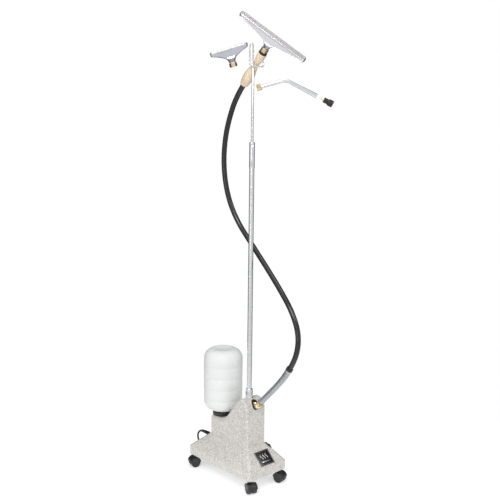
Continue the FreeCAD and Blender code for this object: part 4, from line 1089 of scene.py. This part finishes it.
def mast_socket(place, chrome):
    """Hexagon foot nut of the mast with a chamfered crown and a round flange on the casting."""
    low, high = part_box("mast_socket")
    foot, top = low.z * 1000, high.z * 1000
    sections = [(foot, 1.0, 0.0), (foot + 5.0, 1.0, 0.0), (foot + 6.0, 0.98, 0.0), (foot + 6.4, 0.93, 0.5),
                (top - 9.4, 0.97, 1.0), (top - 8.4, 0.95, 1.0), (top - 7.6, 0.90, 0.3),
                (top - 7.2, 0.92, 0.0), (top - 4.0, 0.92, 0.0), (top - 3.4, 0.88, 0.0),
                (top - 1.0, 0.86, 0.0), (top, 0.78, 0.0)]
    rings = []
    for z, share, cut in sections:
        ring = circle(NUT_CORNER * share / 1000, z / 1000, NUT_POINTS)
        for k, point in enumerate(ring):
            local = (2 * math.pi * k / NUT_POINTS + math.pi / 6) % (math.pi / 3) - math.pi / 6
            flat = math.cos(math.pi / 6) / math.cos(local)
            point.xy *= 1 + (min(1.0, flat * 1.035) - 1) * cut
        rings.append(ring)
    rings += [circle((TUBE_RADIUS + 0.15) / 1000, z / 1000, NUT_POINTS) for z in (top, foot)]
    form = bmesh.new()
    add_rings(form, placed_rings(place, rings), True)
    socket = finish_mesh("mast_foot_nut", form, chrome, 22)
    settle(socket, "root", "chrome", "mast_socket")


CROOK = [(0, -70, 1582), (0, -70, 1640), (0, -70, 1668), (-0.4, -69.6, 1684), (-1.8, -68.4, 1691.5),
         (-4.65, -65.8, 1694.6), (-7.5, -63.2, 1691.5), (-8.9, -62.0, 1684), (-9.3, -61.6, 1668),
         (-9.3, -61.6, 1640), (-9.3, -61.6, 1628)]
CRADLE = [(-10.6, -63.6, 1620.5), (-11.2, -67.6, 1617.4), (-7.2, -74.8, 1615.4), (0.5, -78.9, 1613.8),
          (9.0, -81.4, 1612.2), (17.0, -84.6, 1610.8), (24.5, -88.0, 1610.0), (31.0, -90.8, 1612.4),
          (34.0, -91.0, 1618.5), (34.2, -89.2, 1625.5), (31.5, -86.0, 1632)]
WIRE_RADIUS = 0.0027


def hook(chrome):
    """One wire out of the rod: a narrow crook for hangers, then round under the handle's waist."""
    path = smooth_line("hook_line", [Vector(p) / 1000 for p in CROOK + CRADLE], 10)
    ends = [WIRE_RADIUS] * len(path)
    ends[-1] = WIRE_RADIUS * 0.55
    ends[-2] = WIRE_RADIUS * 0.9
    wire = tube("hook_and_cradle_wire", path, ends, chrome, 20, 60)
    settle(wire, "mast_rod", "chrome", "hook_wire")


# ---- casters --------
CASTER_X = 0.074
CASTER_Y = 0.158
CASTER_TRAIL = 0.014
WHEEL_RADIUS = 20.0
WHEEL_SPAN = (3.2, 18.2)
HOOD_RADIUS = 22.8
SPOKES = 8
CASTER_HEADINGS = {1: -110.0, 2: -80.0, 3: 165.0, 4: 30.0}


def caster_frame(number):
    x = CASTER_X if number in (2, 4) else -CASTER_X
    y = CASTER_Y if number > 2 else -CASTER_Y
    return upright(x, y) @ Matrix.Rotation(math.radians(CASTER_HEADINGS[number]), 4, "Z")


def wheel_profile(low, high):
    """Half section of one wheel along its axle: a crowned tread, an edge bead and a dished outer face."""
    r = WHEEL_RADIUS
    return [(3.1, low), (7.4, low), (8.0, low + 0.8), (r - 6.0, low + 1.6), (r - 4.6, low + 0.4),
            (r - 2.2, low + 0.1), (r - 0.6, low + 0.7), (r - 0.1, low + 2.2), (r, (low + high) / 2),
            (r - 0.1, high - 2.2), (r - 0.6, high - 0.7), (r - 2.2, high - 0.1), (r - 4.6, high - 0.4),
            (r - 6.0, high - 1.8), (8.0, high - 1.2), (7.4, high), (3.1, high)]


def casters():
    """Four twin-wheel casters, each at its own heading."""
    tread = moulded("caster_tread", (0.020, 0.020, 0.021), 0.42, 700, 0.0001)
    nylon = moulded("caster_nylon", (0.016, 0.016, 0.017), 0.30, 500, 0.00012)
    for number in CASTER_HEADINGS:
        place = caster_frame(number)
        axle = place @ frame_at((CASTER_TRAIL, 0, WHEEL_RADIUS / 1000), (0, 0, 1), (0, 1, 0))
        form = bmesh.new()
        for low, high in ((-WHEEL_SPAN[1], -WHEEL_SPAN[0]), WHEEL_SPAN):
            add_lathe(form, axle, wheel_profile(low, high), 64, True)
            outside = -1 if high < 0 else 1
            level = high if outside > 0 else low
            for k in range(SPOKES):
                spoke = axle @ Matrix.Rotation(2 * math.pi * k / SPOKES, 4, "Z")
                rings = []
                for height, grow in ((-1.9, 0), (-0.9, 0), (-0.6, -0.25)):
                    rings.append([Vector((a, b + math.copysign(grow, b), level + outside * height)) / 1000
                                  for a, b in ((7.6, -0.9), (14.4, -0.9), (14.4, 0.9), (7.6, 0.9))])
                add_rings(form, placed_rings(spoke, rings))
        wheels = finish_mesh("caster_wheel_pair_%d" % number, form, tread, 30)
        settle(wheels, "wheels_%d" % number, "caster_tread", "caster_wheels_%d" % number)
        hood = caster_hood(number, place, nylon)
        settle(hood, "caster_%d" % number, "caster_nylon", "caster_fork_%d" % number)


def round_hub(reach, y, angle):
    """A point at an angle in degrees about the axle, in the frame of the hub."""
    turn = math.radians(angle)
    return Vector((reach * math.cos(turn), y, reach * math.sin(turn))) / 1000


def caster_hood(number, place, material):
    """Round hood over both wheels, with a lug and stem above it, a web between the wheels, and an axle."""
    centre = Vector((CASTER_TRAIL, 0, WHEEL_RADIUS / 1000))
    hub = place @ Matrix.Translation(centre)
    form = bmesh.new()
    r, wide = HOOD_RADIUS, WHEEL_SPAN[1] + 2.0
    edge = [(r - 1.7, wide - 1.6), (r - 2.4, wide - 1.1), (r - 2.4, wide), (r - 0.7, wide - 0.4),
            (r - 0.1, wide - 1.6)]
    section = [(reach, -y) for reach, y in reversed(edge)] + edge
    add_rings(form, placed_rings(hub, [[round_hub(reach, y, angle) for reach, y in section]
                                       for angle in range(10, 171, 4)]))
    for side in (-1, 1):
        levels = [(wide - 1.1, r - 0.9), (wide - 0.6, r - 0.9), (wide - 0.1, r - 1.5)]
        add_rings(form, placed_rings(hub, [[round_hub(reach, side * y, angle) for angle in range(10, 171, 8)]
                                           for y, reach in levels]))
        cap = place @ frame_at(centre, (1, 0, 0), (0, side, 0))
        add_lathe(form, cap, [(0, wide - 2.2), (4.2, wide - 2.2), (4.6, wide - 1.6), (4.4, wide - 0.8),
                              (2.6, wide - 0.3), (0, wide - 0.2)], 28)
    add_rings(form, placed_rings(hub, [[round_hub(r - 1.5, y, angle) for angle in range(-18, 199, 9)]
                                       for y in (-2.7, 2.7)]))
    stem = [(0, 36.5), (9.0, 36.5), (9.0, 50.0), (8.2, 51.6), (4.0, 51.8), (4.0, 79), (3.2, 80.8), (0, 81)]
    add_lathe(form, place, stem, 40)
    axle = place @ frame_at(centre, (1, 0, 0), (0, 1, 0))
    add_lathe(form, axle, [(0, -18.6), (2.95, -18.6), (2.95, 18.6), (0, 18.6)], 24)
    return finish_mesh("caster_hood_%d" % number, form, material, 32)


# ---- front plate and switch --------
SLOPE_RISE = 66.0
FRONT_SLOPE_RUN = 70.0
SIDE_SLOPE_RUN = 50.0
PLATE_HALF_HEIGHT = 0.031
CURL_GAP = 0.013
CURL_POINTS = 25
SWITCH_AT = (0.063, -0.112, 0.13816)


def front_plate():
    """Black plate with a bright border and a plain device of rising steam curls over a bar."""
    low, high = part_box("name_plate")
    slope = math.atan2(SLOPE_RISE, FRONT_SLOPE_RUN)
    place = frame_at((low + high) / 2, (1, 0, 0), (0, -math.sin(slope), math.cos(slope)))
    half_x = (high.x - low.x) / 2
    half_y = PLATE_HALF_HEIGHT
    form = bmesh.new()
    levels = ((-0.0008, 0), (0.0001, 0), (0.0003, 0.0004))
    add_rings(form, inset_rings(place, half_x, half_y, 0.002, levels, 4))
    plate = finish_mesh("front_plate", form, moulded("plate_enamel", (0.010, 0.010, 0.011), 0.18), 30)
    trim = metal("plate_trim", (0.86, 0.86, 0.84), 0.16)
    form = bmesh.new()
    border = ((0.0002, 0.0002), (0.0008, 0.0003), (0.0009, 0.0009), (0.0008, 0.0015), (0.0002, 0.0016))
    add_rings(form, inset_rings(place, half_x, half_y, 0.0018, border, 4), True)
    inner = ((0.0002, 0.0036), (0.0006, 0.0037), (0.0006, 0.0043), (0.0002, 0.0044))
    add_rings(form, inset_rings(place, half_x, half_y, 0.0014, inner, 4), True)
    radii = [0.0017 * (0.35 + 0.65 * math.sin(math.pi * (j + 1) / (CURL_POINTS + 1)))
             for j in range(CURL_POINTS)]
    for shift in (-CURL_GAP, 0, CURL_GAP):
        path = []
        for j in range(CURL_POINTS):
            share = j / (CURL_POINTS - 1)
            sway = 0.0036 * math.sin(2 * math.pi * share * 1.15)
            path.append(place @ Vector((shift + sway, -0.006 + 0.024 * share, 0.0004)))
        add_rings(form, tube_rings(path, radii, 10))
    bar = ((0.0002, 0), (0.0007, 0.0001), (0.0009, 0.0005))
    add_rings(form, inset_rings(place @ upright(0, -0.0145), 0.021, 0.0022, 0.0022, bar, 5))
    device = finish_mesh("front_plate_trim", form, trim, 40)
    settle(plate, "root", "plate_black", "name_plate")
    settle(device, "root", "plate_black")


def foot_switch():
    """Rocker with a dished top and grip ribs, in a bevelled frame."""
    slope = math.atan2(SLOPE_RISE, SIDE_SLOPE_RUN)
    place = frame_at(SWITCH_AT, (0, 1, 0), (math.sin(slope), 0, math.cos(slope)))
    millimetres = place @ Matrix.Scale(0.001, 4)
    form = bmesh.new()
    sections = [(17, 12, 2.5, 0.1), (17, 12, 2.5, 1.6), (16.2, 11.2, 2.2, 3.0), (12.6, 7.6, 1.4, 3.0),
                (11.6, 6.6, 1.0, 2.4), (11.5, 6.5, 1.0, -7), (13, 8, 1.6, -9), (13, 8, 1.6, 0.1)]
    add_rings(form, placed_rings(millimetres, [rounded(a, b, c, z, 4) for a, b, c, z in sections]), True)
    bezel = finish_mesh("foot_switch_frame", form, moulded("bezel_black", (0.016, 0.016, 0.017), 0.36), 30)
    settle(bezel, "root", "black_plastic", "switch_bezel")
    form = bmesh.new()
    rings = []
    for x, z in ((-11.0, 6.2), (-7.0, 5.7), (-3.0, 5.5), (0.0, 5.55), (3.5, 6.0), (7.0, 6.8), (11.0, 8.0)):
        section = ((-5.5, -1.9), (-5.6, z - 0.8), (-4.9, z - 0.1), (0, z + 0.35), (4.9, z - 0.1),
                   (5.6, z - 0.8), (5.5, -1.9))
        rings.append([Vector((x if height > 0 else x * 0.96, y, height)) for y, height in section])
    add_rings(form, placed_rings(millimetres, rings))
    for k in range(4):
        x = 5.2 + 1.5 * k
        z = 6.35 + 0.45 * k
        rib = ((-0.4, -0.6), (0.4, -0.6), (0.25, 0.45), (-0.25, 0.45))
        rings = [[Vector((x + a, y, z + b)) for a, b in rib] for y in (-4.4, 4.4)]
        add_rings(form, placed_rings(millimetres, rings))
    black = moulded("rocker_black", (0.012, 0.012, 0.013), 0.24)
    rocker = finish_mesh("foot_switch_rocker", form, black, 30)
    settle(rocker, "switch", "switch_black", "switch_rocker")


# ---- CAD nodes that keep their own shape --------
def carried_nodes():
    enamel = cast_paint()
    coat("housing_shell", enamel)
    zinc = metal("zinc_plate", (0.62, 0.63, 0.62), 0.38, 0.08)
    steel = metal("screw_steel", (0.50, 0.50, 0.52), 0.30)
    black = moulded("shell_black", (0.015, 0.015, 0.016), 0.36)
    gold = brass()
    cast = metal("boiler_cast", (0.62, 0.62, 0.61), 0.46, 0.08)
    silicone = moulded("silicone", (0.72, 0.71, 0.67), 0.42)
    copper = metal("copper_pipe", (0.80, 0.46, 0.33), 0.26)
    finishes = {
        zinc: ["base_plate", "caster_sockets", "heating_element", "thermostat", "thermal_cutout"],
        steel: ["base_screws", "socket_screw", "valve_spring"],
        black: ["bottle_cup", "bottle_cap", "cord_gland", "rod_guide", "outlet_bush", "valve_plunger"],
        gold: ["outlet_elbow", "long_nut", "short_nut", "wand_nut", "handle_nipple"],
        cast: ["boiler_tank", "boiler_lid"],
        silicone: ["feed_tube", "cap_gasket"],
        copper: ["steam_riser"],
    }
    for material, names in finishes.items():
        for name in names:
            coat(name, material)
    for name in ("outlet_elbow", "long_nut", "short_nut", "wand_nut", "bottle_cup", "bottle_cap",
                 "cord_gland", "caster_sockets", "base_screws", "boiler_tank", "boiler_lid"):
        soften(name)


scene.view_settings.view_transform = "Standard"
make_camera()
hose()
power_cord()
carried_nodes()
bottle()
heads()
handle()
wand()
nozzle()
mast()
casters()
front_plate()
foot_switch()
make_world()
make_stage()
